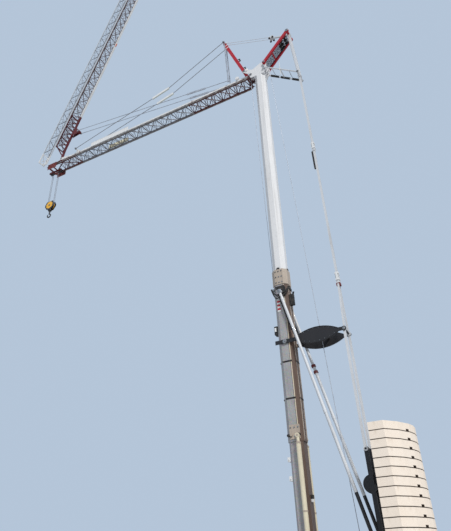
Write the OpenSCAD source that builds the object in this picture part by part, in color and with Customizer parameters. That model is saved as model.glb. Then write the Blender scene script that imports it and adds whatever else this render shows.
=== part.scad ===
// Fast-erecting tower crane, caught while its jib unfolds: a chassis on four outriggers, a slewing
// platform with a stack of concrete slabs, a telescopic mast held by rear struts and tie bars, a red
// head, and a lattice jib in three sections. The origin is on the slewing axis at the ground, +X runs
// along the jib, +Y to its left, +Z up.

/* [Base] */
// Distance from the slewing axis to each jack
jack_reach = 3120; // [2800:10:3400]
// Diameter of a jack foot
foot_d = 520; // [400:10:640]
// Height of the chassis arms' centre line
arm_z = 690; // [650:5:760]
// Width of an outrigger arm
arm_w = 240; // [200:5:280]
// Depth of an outrigger arm
arm_h = 280; // [220:5:320]
// Outer diameter of the slewing ring
ring_d = 1240; // [1100:10:1400]
// Height of the slewing ring's lower face
ring_z = 900; // [890:5:960]

/* [Platform] */
// Height of the platform's top face
deck_z = 1420; // [1400:5:1500]
// Depth of the platform's side beams
beam_h = 280; // [220:5:320]
// Width of the platform's side beams
beam_w = 160; // [120:5:200]
// Lateral distance of the side beams' centre lines
beam_y = 520; // [480:5:560]

/* [Ballast] */
// Number of concrete slabs in the stack
slab_count = 16; // [8:1:18]
// Height of one slab
slab_h = 230; // [180:1:260]
// Width of a slab
slab_w = 2500; // [2200:10:2600]
// Distance from the slewing axis to the slabs' rear edge
slab_tail = 2300; // [2250:5:2400]
// Depth of a slab from front to rear
slab_depth = 990; // [900:5:1040]

/* [Mast] */
// Distance of the mast's axis in front of the slewing axis
mast_x = 1100; // [1000:10:1200]
// Width of the lower mast across its flats
lower_w = 520; // [516:1:560]
// Width of the upper mast across its flats
upper_w = 490; // [440:1:494]
// Wall of both mast tubes
mast_wall = 8; // [6:1:10]
// Height of the lower mast's top
lower_top_z = 10900; // [10600:10:11200]
// Height of the upper mast's top
upper_top_z = 21450; // [21000:10:21500]
// Height of the spreader that holds the tie bars off the mast
spreader_z = 8300; // [7900:10:8700]

/* [Struts and tie bars] */
// Diameter of a rear strut
strut_d = 96; // [80:1:110]
// Distance of the tie bars behind the mast's axis
tie_back = 1990; // [1900:10:2050]
// Lateral distance of the lower tie bars
tie_y = 280; // [260:5:300]
// Depth of a tie bar
tie_w = 80; // [60:1:90]
// Thickness of a tie bar
tie_t = 36; // [25:1:45]

/* [Jib] */
// Height of the inner jib's top chord above the mast's top
chord_up = 450; // [440:5:470]
// Depth of the jib between its chords' centre lines
jib_depth = 500; // [460:5:560]
// Width of the jib between its bottom chords' centre lines
jib_w = 560; // [500:5:570]
// Side of the square top chord
top_chord = 80; // [70:1:90]
// Side of the square bottom chords
low_chord = 60; // [50:1:70]
// Side of a lattice brace
brace = 30; // [24:1:36]
// Distance from the mast's axis to the folding pivot
pivot_run = 12050; // [11800:10:12300]
// Angle between the middle section and its straight position
fold = 111.3; // [90:0.1:140]
// Length of the middle section from the pivot to the tip section's hinge
middle_len = 13100; // [12500:50:13500]
// Length of the tip section
tip_len = 13900; // [12500:50:14000]

/* [Hook] */
// Distance from the mast's axis to the hook's line
hook_run = 12300; // [11000:10:12320]
// Height of the hook block's sheave axis
hook_z = 18830; // [18000:10:19500]
// Diameter of the sheaves
sheave_d = 380; // [300:10:420]
// Diameter of the hoist rope
rope_d = 20; // [12:1:24]

/* [Hidden] */

seat = 0.3;          // gap between two pieces that rest on each other
run_gap = 6;         // gap between two pieces that move past each other
slip = 0.06;         // radial gap of a pin in its bore
pivot_x = mast_x + pivot_run;
chord_top_z = upper_top_z + chord_up;
pivot_z = chord_top_z + 80;
chord_low_z = chord_top_z - jib_depth;
hook_x = mast_x + hook_run;
tip_y = 625;         // lateral place of the folded tip section
tip_w = 350;
tip_depth = 400;

// a bar of rectangular section from a to b
module bar(a, b, w, h) {
    d = b - a;
    translate(a)
        rotate([0, -atan2(d.z, norm([d.x, d.y])), atan2(d.y, d.x)])
            translate([0, -w / 2, -h / 2])
                cube([norm(d), w, h]);
}

// a round rod from a to b
rod_turn = 45;
module rod(a, b, d_rod, sides = 16) {
    d = b - a;
    translate(a)
        rotate([0, acos(d.z / norm(d)), atan2(d.y, d.x)])
            rotate(rod_turn)
                cylinder(h = norm(d), d = d_rod, $fn = sides);
}

// a round piece lying across the jib, from y0 to y1
module cross_pin(x, z, d_pin, y0, y1, sides = 32) {
    translate([x, y0, z])
        rotate([-90, 0, 0])
            cylinder(h = y1 - y0, d = d_pin, $fn = sides);
}

// a plate across the jib with an outline given in x and z
module side_plate(points, y0, y1) {
    translate([0, y1, 0])
        rotate([90, 0, 0])
            linear_extrude(y1 - y0)
                polygon(points);
}

// the same piece on both sides of the jib's plane
module both_sides() {
    children();
    mirror([0, 1, 0])
        children();
}

// outline of a square tube with cut corners
module cut_square(w, cut) {
    h = w / 2;
    polygon([[h, h - cut], [h - cut, h], [cut - h, h], [-h, h - cut],
             [-h, cut - h], [cut - h, -h], [h - cut, -h], [h, cut - h]]);
}

module octagon(w) {
    cut_square(w, w * (1 - 1 / (1 + sqrt(2))) / 2);
}

// Base

module on_diagonals() {
    for (i = [0:3])
        rotate([0, 0, 45 + 90 * i])
            children();
}

socket_out = 1350;
socket_in = 420;

module chassis_frame() {
    color("gainsboro")
        union() {
            on_diagonals() {
                for (side = [-1, 1])
                    translate([socket_in, side * (arm_w / 2 + 20) - 12, arm_z - arm_h / 2])
                        cube([socket_out - socket_in, 24, arm_h]);
                translate([socket_in, -arm_w / 2 - 20, arm_z - arm_h / 2 - 24])
                    cube([socket_out - socket_in, arm_w + 40, 24]);
            }
            translate([0, 0, arm_z - arm_h / 2 - 24])
                cylinder(h = arm_h + 24, r = 560, $fn = 8);
            translate([0, 0, arm_z + arm_h / 2])
                cylinder(h = ring_z - seat - arm_z - arm_h / 2, d = ring_d - 60, $fn = 64);
        }
}

module outrigger_arms() {
    color("gainsboro")
        on_diagonals()
            difference() {
                union() {
                    translate([575, -arm_w / 2, arm_z - arm_h / 2 + seat])
                        cube([jack_reach - 575, arm_w, arm_h - seat]);
                    translate([jack_reach, 0, arm_z - arm_h / 2 - 60])
                        cylinder(h = arm_h + 160, d = 260, $fn = 32);
                }
                translate([jack_reach, 0, arm_z - arm_h])
                    cylinder(h = 2 * arm_h, d = 150 + 2 * seat, $fn = 32);
            }
}

module outrigger_jacks() {
    color("silver")
        on_diagonals()
            translate([jack_reach, 0, 0]) {
                translate([0, 0, 70 + seat])
                    cylinder(h = arm_z + arm_h / 2 + 180, d = 150, $fn = 32);
                translate([0, 0, arm_z + arm_h / 2 + 100 + seat])
                    cylinder(h = 60, d = 230, $fn = 32);
            }
}

module jack_feet() {
    color("silver")
        on_diagonals()
            translate([jack_reach, 0, 0]) {
                cylinder(h = 30, d = foot_d, $fn = 48);
                cylinder(h = 70, d = 240, $fn = 32);
            }
}

module slewing_ring() {
    color("dimgray")
        translate([0, 0, ring_z])
            difference() {
                cylinder(h = 70, d = ring_d, $fn = 96);
                translate([0, 0, -1])
                    cylinder(h = 72, d = ring_d - 260, $fn = 96);
            }
}

turntable_z = ring_z + 70 + seat;

module turntable() {
    color("dimgray")
        difference() {
            union() {
                translate([0, 0, turntable_z])
                    cylinder(h = 60, d = ring_d - 20, $fn = 96);
                translate([0, 0, turntable_z + 60])
                    cylinder(h = deck_z - beam_h - turntable_z - 60 - seat, d = ring_d - 120, $fn = 64);
            }
            translate([0, 0, turntable_z - 1])
                cylinder(h = 400, d = ring_d - 400, $fn = 64);
        }
}

// Platform

deck_front = mast_x + 420;
deck_rear = -slab_tail + 60;
floor_z = deck_z - beam_h + 20;

module platform_frame() {
    color("gainsboro")
        union() {
            both_sides()
                translate([deck_rear, beam_y - beam_w / 2, deck_z - beam_h])
                    cube([deck_front - deck_rear, beam_w, beam_h]);
            for (x = [deck_rear, -slab_tail + slab_depth - 120, lever_x - 120, -560, 420, deck_front - 120])
                translate([x, -beam_y, deck_z - beam_h])
                    cube([120, 2 * beam_y, beam_h]);
            translate([-560, -beam_y, deck_z - beam_h])
                cube([1100, 2 * beam_y, floor_z - deck_z + beam_h]);
            for (x = [deck_rear, -slab_tail + slab_depth - 120])
                translate([x, -slab_w / 2 + 40, deck_z - 120])
                    cube([120, slab_w - 80, 120]);
        }
}

// outline of a slab, drawn in by the inset: straight front, cut rear corners inside the tail circle
module slab_outline(inset = 0) {
    front = -slab_tail + slab_depth - inset;
    tail = -slab_tail + inset;
    h = slab_w / 2 - inset;
    polygon([[front, -h], [front, h], [tail + 580, h], [tail + 280, 0.704 * h],
             [tail + 65, 0.344 * h], [tail, 0.12 * h], [tail, -0.12 * h],
             [tail + 65, -0.344 * h], [tail + 280, -0.704 * h], [tail + 580, -h]]);
}

joint_h = 16;

module slab(i) {
    translate([0, 0, deck_z + seat + i * (slab_h + 2 * seat)])
        difference() {
            union() {
                translate([0, 0, joint_h])
                    linear_extrude(slab_h - joint_h)
                        slab_outline();
                linear_extrude(joint_h + 1)
                    slab_outline(25);
            }
            both_sides()
                translate([-slab_tail - 10, 0.36 * slab_w / 2 + 40, -1])
                    cube([170, 90, 61]);
        }
}

module ballast_lower() {
    color("cornsilk")
        for (i = [0:floor(slab_count / 2) - 1])
            slab(i);
}

module ballast_upper() {
    color("cornsilk")
        for (i = [floor(slab_count / 2):slab_count - 1])
            slab(i);
}

module hoist_winch() {
    color("dimgray")
        union() {
            for (y = [-310, 286])
                side_plate([[drum.x - 190, floor_z + seat], [drum.x + 190, floor_z + seat],
                            [drum.x + 120, drum.z + 190], [drum.x - 120, drum.z + 190]], y, y + 24);
            cross_pin(drum.x, drum.z, drum_d, -288, 288, 48);
            for (y = [-270, 250])
                cross_pin(drum.x, drum.z, flange_d, y, y + 20, 48);
            cross_pin(drum.x, drum.z, 200, -420, -300);
        }
}

module electric_cabinet() {
    color("whitesmoke")
        translate([-330, -beam_y - beam_w / 2 - 320 - seat, deck_z - beam_h])
            cube([700, 320, 900]);
}

module hydraulic_unit() {
    color("gray")
        union() {
            translate([-330, beam_y + beam_w / 2 + seat, deck_z - beam_h])
                cube([620, 300, 420]);
            translate([-20, beam_y + beam_w / 2 + 150, deck_z - beam_h + 420])
                cylinder(h = 260, d = 180, $fn = 32);
        }
}

// Mast

foot_z = 1780;
foot_top_z = 5150;
foot_w = 450;

module mast_foot() {
    color("gainsboro")
        both_sides()
            difference() {
                union() {
                    side_plate([[mast_x - 300, deck_z + seat], [mast_x + 300, deck_z + seat],
                                [mast_x + 110, foot_z + 130], [mast_x - 110, foot_z + 130]],
                               foot_w / 2 + 8, foot_w / 2 + 38);
                    translate([mast_x - 300, foot_w / 2 + 8, deck_z + seat])
                        cube([600, beam_y - foot_w / 2 - 8, 24]);
                }
                cross_pin(mast_x, foot_z, 100 + 2 * slip, 0, foot_w);
            }
}

module lower_mast() {
    color("darkgray")
        union() {
            translate([mast_x, 0, foot_top_z])
                linear_extrude(lower_top_z - foot_top_z)
                    difference() {
                        cut_square(lower_w, 120);
                        cut_square(lower_w - 2 * mast_wall, 120 - mast_wall * 0.586);
                    }
            translate([mast_x, 0, foot_z - 100])
                linear_extrude(foot_top_z - foot_z + 100)
                    difference() {
                        cut_square(foot_w, 70);
                        cut_square(foot_w - 2 * mast_wall, 70 - mast_wall * 0.586);
                    }
            translate([mast_x, 0, foot_top_z - 20])
                linear_extrude(40)
                    cut_square(lower_w, 120);
            cross_pin(mast_x, foot_z, 100, -foot_w / 2 - 50, foot_w / 2 + 50);
        }
}

collar_z = 10450;

module mast_collar() {
    color("tan")
        union() {
            translate([mast_x, 0, collar_z])
                linear_extrude(lower_top_z - collar_z + seat)
                    difference() {
                        cut_square(lower_w + 40, 128);
                        cut_square(lower_w + 2 * seat, 120);
                    }
            translate([mast_x, 0, lower_top_z + seat])
                linear_extrude(150)
                    difference() {
                        cut_square(lower_w + 40, 128);
                        octagon(upper_w + 2 * seat);
                    }
        }
}

bracket_z = 5250;

module mast_bracket() {
    color("tan")
        both_sides()
            union() {
                translate([mast_x - 190, lower_w / 2 + seat, bracket_z - 60])
                    cube([330, 24, 420]);
                cross_pin(mast_x - 130, bracket_z + 20, 70, lower_w / 2 + 20, lower_w / 2 + 150);
                cross_pin(mast_x + 80, bracket_z + 60, 80, lower_w / 2 + 20, lower_w / 2 + 70);
            }
}

module mast_rams() {
    color("cornsilk")
        both_sides()
            difference() {
                union() {
                    rod([mast_x - 130, lower_w / 2 + 90, deck_z + 200],
                        [mast_x - 130, lower_w / 2 + 90, bracket_z - 180], 140, 32);
                    rod([mast_x - 130, lower_w / 2 + 90, bracket_z - 180],
                        [mast_x - 130, lower_w / 2 + 90, bracket_z + 20], 90, 32);
                    cross_pin(mast_x - 130, bracket_z + 20, 130, lower_w / 2 + 40, lower_w / 2 + 140);
                    translate([mast_x - 200, lower_w / 2 + 40, deck_z + 24 + 2 * seat])
                        cube([140, 100, 220]);
                }
                cross_pin(mast_x - 130, bracket_z + 20, 70 + 2 * slip, lower_w / 2, lower_w);
            }
}

module upper_mast() {
    color("white")
        union() {
            translate([mast_x, 0, lower_top_z - 2600])
                linear_extrude(upper_top_z - lower_top_z + 2600)
                    difference() {
                        octagon(upper_w);
                        octagon(upper_w - 2 * mast_wall);
                    }
            translate([mast_x, 0, upper_top_z - 30])
                linear_extrude(30)
                    octagon(upper_w);
        }
}

module mast_boxes() {
    color("white")
        for (z = [4130, 4660])
            translate([mast_x + foot_w / 2 + seat, -60, z - 60])
                cube([90, 120, 120]);
}

// Struts, spreader and tie bars

strut_top_z = 10100;
strut_top_y = 380;
strut_low_y = 430;
strut_back = 2130;
strut_up = 120;
strut_top = [mast_x - 20, strut_top_y, strut_top_z];
strut_low = [mast_x - strut_back, strut_low_y, deck_z + strut_up];

module rear_struts() {
    color("white")
        both_sides()
            union() {
                rod(strut_low, strut_top, strut_d, 24);
                cross_pin(strut_top.x, strut_top.z, 160, lower_w / 2 + seat, 440);
                translate([strut_low.x - 80, strut_low.y - 62, deck_z + seat])
                    cube([160, 124, 150]);
            }
}

spread_rear = mast_x - tie_back;
spread_in = lower_w / 2 + 20;
spread_out = spread_in + 25;
lens_len = 1640;
lens_h = 530;
lens_x = mast_x - 270 - lens_len / 2;
lens_r = (lens_len * lens_len + lens_h * lens_h) / (4 * lens_h);

// side outline of the spreader: a slim arm beside the mast, a lens behind it, an eye at its end
module spreader_outline() {
    translate([lens_x, spreader_z - 65])
        square([mast_x + 330 - lens_x, 130]);
    intersection() {
        translate([lens_x, spreader_z - lens_r + lens_h / 2])
            circle(r = lens_r, $fn = 128);
        translate([lens_x, spreader_z + lens_r - lens_h / 2])
            circle(r = lens_r, $fn = 128);
    }
    translate([spread_rear, spreader_z - 60])
        square([lens_x - spread_rear, 120]);
    translate([spread_rear, spreader_z])
        circle(d = 150, $fn = 48);
}

module spreader_arms() {
    color("black")
        union() {
            both_sides() {
                translate([0, spread_out, 0])
                    rotate([90, 0, 0])
                        linear_extrude(25)
                            spreader_outline();
                cross_pin(mast_x, spreader_z, 110, lower_w / 2 + seat, spread_in + 5);
            }
            for (run = [-420, -1300])
                cross_pin(mast_x + run, spreader_z, 90, -spread_in - 5, spread_in + 5);
            cross_pin(spread_rear, spreader_z, 70, -spread_in - 5, spread_in + 5);
        }
}

rear_tip_back = 1600;
rear_tip_up = 2030;
spacer_back = 1800;
spacer_down = 950;
joint_high_back = 1890;
joint_high_z = 16200;
joint_low_z = 10200;
rear_tip = [mast_x - rear_tip_back, 0, upper_top_z + rear_tip_up];
spacer_end = [mast_x - spacer_back, 0, upper_top_z - spacer_down];
joint_high = [mast_x - joint_high_back, 0, joint_high_z];
joint_low = [mast_x - tie_back, 0, joint_low_z];

// outline of a flat bar from a to b with a round eye at each end; a bore of 0 leaves that eye whole
module link_outline(a, b, w, eye_a, eye_b, bore_a, bore_b) {
    run = [b.x - a.x, b.z - a.z];
    difference() {
        union() {
            translate([a.x, a.z])
                rotate(atan2(run.y, run.x))
                    translate([0, -w / 2])
                        square([norm(run), w]);
            translate([a.x, a.z])
                circle(d = eye_a, $fn = 48);
            translate([b.x, b.z])
                circle(d = eye_b, $fn = 48);
        }
        if (bore_a > 0)
            translate([a.x, a.z])
                circle(d = bore_a + 2 * slip, $fn = 48);
        if (bore_b > 0)
            translate([b.x, b.z])
                circle(d = bore_b + 2 * slip, $fn = 48);
    }
}

module link(a, b, y0, y1, w, eye_a, eye_b, bore_a = 0, bore_b = 0) {
    translate([0, y1, 0])
        rotate([90, 0, 0])
            linear_extrude(y1 - y0)
                link_outline(a, b, w, eye_a, eye_b, bore_a, bore_b);
}

tip_pin = 110;
spacer_pin = 90;
spread_pin = 70;
ear_in = 64;
lever_pin = 60;

module tie_bars_upper() {
    color("lavender")
        both_sides()
            link(spacer_end, rear_tip, 44, 44 + tie_t, tie_w, spacer_pin + 70, tip_pin + 70,
                 spacer_pin, tip_pin);
}

// link plates over a joint of the tie bars
module tie_joint(p) {
    translate([p.x, 0, p.z])
        both_sides() {
            translate([-60, 38, -170])
                cube([120, 16, 340]);
            for (z = [-110, 110])
                cross_pin(0, z, 50, 0, 66);
        }
}

module tie_bars_middle() {
    color("lavender")
        union() {
            both_sides() {
                link(joint_high, spacer_end, 6, 40, tie_w, 40, spacer_pin + 70, 0, spacer_pin);
                link(joint_low, joint_high, 8, 36, tie_w - 6, 40, 40);
                difference() {
                    union() {
                        bar([spread_rear, spread_in - ear_in, spreader_z + 30],
                            [joint_low.x, 40, joint_low.z], tie_w - 16, 24);
                        cross_pin(spread_rear, spreader_z, spread_pin + 70, spread_in - ear_in - 18,
                                  spread_in - ear_in + 14);
                    }
                    cross_pin(spread_rear, spreader_z, spread_pin + 2 * slip, 0, spread_in);
                }
            }
            tie_joint(joint_high);
            tie_joint(joint_low);
        }
}

lever_x = spread_rear - 60;
lever_top = [lever_x + 10, 0, 4660];

module tie_bars_lower() {
    color("lavender")
        both_sides()
            link(lever_top, [spread_rear, 0, spreader_z], spread_in - 42, spread_in - 6, tie_w,
                 lever_pin + 70, spread_pin + 70, lever_pin, spread_pin);
}

module rear_lever() {
    color("black")
        union() {
            both_sides() {
                link([lever_x - 30, 0, deck_z + 80], lever_top, spread_in - 114, spread_in - 54, 120, 80, 150);
                translate([lever_x - 110, spread_in - 124, deck_z + seat])
                    cube([160, 80, 70]);
                cross_pin(lever_top.x, lever_top.z, lever_pin, spread_in - 60, spread_in);
            }
            cross_pin(lever_x - 10, 3650, 220, 58 - spread_in, spread_in - 58);
            cross_pin(lever_x - 20, 2500, 90, 60 - spread_in, spread_in - 60);
        }
}

// Head

plate_in = 190;
plate_out = 215;

// a point of the head: how far in front of the mast's axis, how far above the mast's top
function head_point(run, up) = [mast_x + run, 0, upper_top_z + up];

root_run = 400;
root_up = 250;
strut_run = 720;
strut_pin_up = 680;
frame_back = 320;
frame_up = 600;
spacer_root_back = 280;
spacer_root_up = 310;
tip_run = 1720;
tip_up = 3510;
sheave_up = 330;
root_pin = head_point(root_run, root_up);
strut_pin = head_point(strut_run, strut_pin_up);
frame_pin = head_point(-frame_back, frame_up);
spacer_root = head_point(-spacer_root_back, spacer_root_up);
strut_tip = head_point(tip_run, tip_up);
head_sheave = head_point(-frame_back, sheave_up);
head_sheave_d = 240;
root_sheave_d = 180;

module mast_head() {
    color("white")
        union() {
            translate([mast_x - 260, -240, upper_top_z + seat])
                cube([520, 480, 60]);
            translate(head_point(0, 0))
                both_sides()
                    side_plate([[-frame_back - 80, 510], [-360, 190], [-250, 40], [root_run + 20, 40],
                                [root_run + 70, 190], [root_run + 70, 330], [strut_run + 70, 620],
                                [strut_run + 70, 740], [strut_run - 70, 750], [300, 530], [-100, 730],
                                [-frame_back - 80, 710]],
                               plate_in, plate_out);
            cross_pin(root_pin.x, root_pin.z, 80, -plate_out - 20, plate_out + 20);
            cross_pin(strut_pin.x, strut_pin.z, 60, -plate_out - 20, plate_out + 20);
            cross_pin(frame_pin.x, frame_pin.z, 80, -320, 320);
            cross_pin(spacer_root.x, spacer_root.z, 60, -300, 300);
            cross_pin(head_sheave.x, head_sheave.z, 50, -plate_in - 5, plate_in + 5);
            cross_pin(head_sheave.x, head_sheave.z, head_sheave_d, -25, 25, 48);
            cross_pin(root_pin.x, root_pin.z, root_sheave_d, -25, 25, 48);
            translate([mast_x - 120, -plate_in - 5, upper_top_z + 260])
                cube([20, 2 * plate_in + 10, 420]);
        }
}

module rear_head_frame() {
    color("crimson")
        union() {
            both_sides()
                link(frame_pin, rear_tip, 230, 310, 130, 170, 170, 80);
            cross_pin(rear_tip.x, rear_tip.z, tip_pin, -320, 320);
            cross_pin(frame_pin.x - 420, frame_pin.z + 470, 70, -270, 270);
        }
}

module tie_spacer() {
    color("white")
        union() {
            both_sides()
                difference() {
                    union() {
                        rod([spacer_root.x, 265, spacer_root.z], [spacer_end.x, 265, spacer_end.z], 60, 16);
                        cross_pin(spacer_root.x, spacer_root.z, 130, 235, 295);
                    }
                    cross_pin(spacer_root.x, spacer_root.z, 60 + 2 * slip, 200, 330);
                }
            cross_pin(spacer_end.x, spacer_end.z, spacer_pin, -300, 300);
            cross_pin(spacer_root.x - 760, spacer_root.z - 630, 50, -265, 265);
        }
}

module front_head_strut() {
    color("crimson")
        difference() {
            union() {
                bar(strut_pin, strut_tip - [30, 0, 60], 160, 150);
                cross_pin(strut_pin.x, strut_pin.z, 160, -180, 180);
                cross_pin(strut_tip.x, strut_tip.z, tip_eye, -88, 88);
                cross_pin(strut_tip.x, strut_tip.z, 50, -235, 235);
            }
            cross_pin(strut_pin.x, strut_pin.z, 60 + 2 * slip, -200, 200);
        }
}

tackle_back = 750;
tackle_up = 2390;
tackle_block = head_point(-tackle_back, tackle_up);
tip_eye = 150;
rope_start = tip_eye / 2 + 4;

// ropes from the front strut's tip to a block, and the rod that ties the block to the rear frame's tip
module head_tackle() {
    color("lightsteelblue")
        union() {
            both_sides()
                rod(strut_tip + [-rope_start, 60, 0], tackle_block + [0, 60, 0], rope_d, 8);
            translate(tackle_block - [110, 90, 60])
                cube([220, 180, 120]);
            difference() {
                union() {
                    bar(tackle_block, rear_tip, 60, 60);
                    cross_pin(rear_tip.x, rear_tip.z, tip_pin + 60, -40, 40);
                }
                cross_pin(rear_tip.x, rear_tip.z, tip_pin + 2 * slip, -60, 60);
            }
        }
}

drum = [-240, 0, deck_z + 60];
drum_d = 340;
flange_d = drum_d + 60;

module mast_ropes() {
    color("slategray")
        union() {
            rod([drum.x - drum_d / 2 - rope_d / 2 - seat, 0, drum.z],
                [head_sheave.x - head_sheave_d / 2 - rope_d / 2 - seat, 0, head_sheave.z], rope_d, 8);
            rod([mast_x + lower_w / 2 + 20 + seat + rope_d / 2, 0, collar_z + 60],
                [root_pin.x + root_sheave_d / 2 + rope_d / 2 + seat, 0, root_pin.z], rope_d, 8);
        }
}

// Jib

// a three-chord lattice from x0 to x1; its top chord's centre line is at z = 0, its bottom chords' at -depth
module truss(x0, x1, w, depth, top_side, low_side, bays, brace_side = brace) {
    step = (x1 - x0) / bays;
    translate([x0, -top_side / 2, -top_side / 2])
        cube([x1 - x0, top_side, top_side]);
    both_sides()
        translate([x0, w / 2 - low_side / 2, -depth - low_side / 2])
            cube([x1 - x0, low_side, low_side]);
    for (i = [0:bays - 1]) {
        a = x0 + i * step + step * 0.04;
        b = x0 + (i + 1) * step - step * 0.04;
        m = (a + b) / 2;
        both_sides() {
            bar([a, w / 2, -depth], [m, 0, 0], brace_side, brace_side);
            bar([m, 0, 0], [b, w / 2, -depth], brace_side, brace_side);
        }
        bar([a, -w / 2, -depth], [b, w / 2, -depth], brace_side - 6, brace_side - 2);
    }
}

jib_root = 520;
root_end = 3700;
elbow_start = 10700;
inner_low_end = 12700;
rail_w = 40;
rail_t = 12;
rail_start = 600;
stay_in = 200;
stay_run = elbow_start + stay_in;
stay_z = chord_top_z + 160;

module inner_frame() {
    translate([mast_x, 0, chord_top_z])
        children();
}

module inner_jib_root() {
    color("maroon")
        difference() {
            union() {
                inner_frame() {
                    truss(jib_root, root_end, jib_w, jib_depth, top_chord, low_chord, 4);
                    translate([jib_root, -jib_w / 2, -jib_depth - low_chord / 2])
                        cube([low_chord, jib_w, low_chord]);
                    both_sides()
                        bar([jib_root + 30, 20, 0], [jib_root + 30, jib_w / 2, -jib_depth], 50, 60);
                }
                both_sides()
                    side_plate([[root_pin.x - 90, root_pin.z - 60], [mast_x + jib_root + 60, chord_low_z + 40],
                                [mast_x + jib_root + 60, chord_low_z + 340], [root_pin.x - 40, root_pin.z + 90],
                                [root_pin.x - 90, root_pin.z + 60]], 140, plate_in - 5);
            }
            cross_pin(root_pin.x, root_pin.z, 80 + 2 * slip, -200, 200);
        }
}

module inner_jib_span() {
    color("lightgray")
        inner_frame()
            truss(root_end + seat, elbow_start - seat, jib_w, jib_depth, top_chord, low_chord, 8);
}

module inner_jib_elbow() {
    color("maroon")
        union() {
            inner_frame() {
                truss(elbow_start, pivot_run - 150, jib_w, jib_depth, top_chord, low_chord, 1);
                both_sides() {
                    translate([pivot_run - 160, jib_w / 2 - low_chord / 2, -jib_depth - low_chord / 2])
                        cube([inner_low_end - pivot_run + 160, low_chord, low_chord]);
                    bar([pivot_run - 180, 40, 0], [inner_low_end - 60, jib_w / 2, -jib_depth], 40, 60);
                }
                translate([inner_low_end - 60, -jib_w / 2, -jib_depth - 25])
                    cube([50, jib_w, 50]);
            }
            both_sides() {
                side_plate([[pivot_x - 620, chord_top_z - 35], [pivot_x - 60, chord_top_z - 40],
                            [pivot_x + 60, pivot_z - 40], [pivot_x + 60, pivot_z + 40],
                            [pivot_x + 30, pivot_z + 60], [pivot_x - 60, pivot_z + 60],
                            [pivot_x - 620, chord_top_z + 35]], 39, 62);
                side_plate([[mast_x + stay_run - 120, chord_top_z + 38],
                            [mast_x + stay_run + 120, chord_top_z + 38],
                            [mast_x + stay_run + 50, stay_z + 45],
                            [mast_x + stay_run - 50, stay_z + 45]], 10, 40);
            }
            cross_pin(pivot_x, pivot_z, 60, -62, 62);
            cross_pin(mast_x + stay_run, stay_z, 50, -235, 235);
        }
}

// flat bars along the bottom chords, for the trolley's wheels
module jib_rails() {
    color("dimgray")
        inner_frame()
            both_sides()
                translate([rail_start, jib_w / 2 + low_chord / 2 + seat, -jib_depth - low_chord / 2])
                    cube([inner_low_end - rail_start, rail_w, rail_t]);
}

// places the middle and tip sections: local x runs out along the jib from the folding pivot
module folded() {
    translate([pivot_x, 0, pivot_z])
        rotate([0, -fold, 0])
            children();
}

drop = -80;
mid_root_end = 2900;
mid_low_start = inner_low_end - pivot_run + 10;
knee_in = 70;
ear_run = 1820;
ear_up = 400;
ear_pin = 50;

module middle_jib_root() {
    color("maroon")
        folded()
            difference() {
                union() {
                    translate([0, 0, drop]) {
                        truss(mid_low_start, mid_root_end, jib_w, jib_depth, top_chord, low_chord, 3);
                        both_sides()
                            bar([200, 0, 0], [mid_low_start + knee_in, jib_w / 2, -jib_depth], 40, 50);
                        translate([mid_low_start, -jib_w / 2, -jib_depth - 25])
                            cube([50, jib_w, 50]);
                    }
                    side_plate([[-50, -40], [-40, 30], [40, 45], [mid_low_start + 60, drop + 38],
                                [mid_low_start + 60, drop - 38], [120, drop - 38]], -33, 33);
                    cross_pin(0, 0, 110, -33, 33);
                    both_sides()
                        side_plate([[ear_run - 330, drop + 38], [ear_run + 330, drop + 38],
                                    [ear_run + 60, ear_up + 50], [ear_run - 60, ear_up + 50]], 58, 76);
                    for (x = [ear_run - 260, ear_run + 220])
                        translate([x, -76, drop + 30])
                            cube([40, 152, 50]);
                    cross_pin(ear_run, ear_up, ear_pin, -160, 160);
                }
                cross_pin(0, 0, 60 + 2 * slip, -100, 100);
            }
}

mid_span_end = middle_len - 700;

module middle_jib_span() {
    color("lightgray")
        folded()
            translate([0, 0, drop])
                truss(mid_root_end + seat, mid_span_end - seat, jib_w, jib_depth, top_chord, low_chord, 11);
}

hinge_y = tip_y / 2;
hinge_pin = 40;
tip_top = drop - 60;
tip_low = tip_top - tip_depth;
tip_end_len = 600;

module upright_pin(z0, z1, d_pin) {
    translate([middle_len, hinge_y, z0])
        cylinder(h = z1 - z0, d = d_pin, $fn = 32);
}

module middle_jib_end() {
    color("lightgray")
        folded()
            union() {
                translate([0, 0, drop])
                    truss(mid_span_end, middle_len - 10, jib_w, jib_depth, top_chord, low_chord, 1);
                for (z = [tip_low - 48, tip_low + 50, tip_top - 120, tip_top - 10]) {
                    upright_pin(z, z + 36, 80);
                    translate([middle_len - 40, -40, z])
                        cube([40, hinge_y + 40, 36]);
                }
                upright_pin(tip_low - 48, tip_low + 86, hinge_pin);
                upright_pin(tip_top - 120, tip_top + 26, hinge_pin);
                translate([middle_len - 40, -35, drop - jib_depth - 30])
                    cube([30, 70, jib_depth + 60]);
            }
}

// the tip section, folded back along the middle section's side
module tip_jib_span() {
    color("lightgray")
        folded()
            difference() {
                union() {
                    translate([0, tip_y, tip_top])
                        truss(middle_len - tip_len + tip_end_len + seat, middle_len - 20, tip_w, tip_depth,
                              50, 50, 14, 24);
                    upright_pin(tip_low - 4, tip_low + 44, 80);
                    translate([middle_len - 60, hinge_y, tip_low + 1])
                        cube([40, tip_y - tip_w / 2 - hinge_y + 20, 38]);
                    upright_pin(tip_top - 78, tip_top - 16, 80);
                    translate([middle_len - 60, hinge_y, tip_top - 70])
                        cube([40, tip_y - hinge_y, 46]);
                    translate([middle_len - 60, tip_y - 25, tip_low - 20])
                        cube([40, 50, tip_depth]);
                    translate([middle_len - 60, tip_y - tip_w / 2, tip_low - 20])
                        cube([40, tip_w, 40]);
                }
                upright_pin(tip_low - 200, tip_top + 200, hinge_pin + 2 * slip);
            }
}

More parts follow.
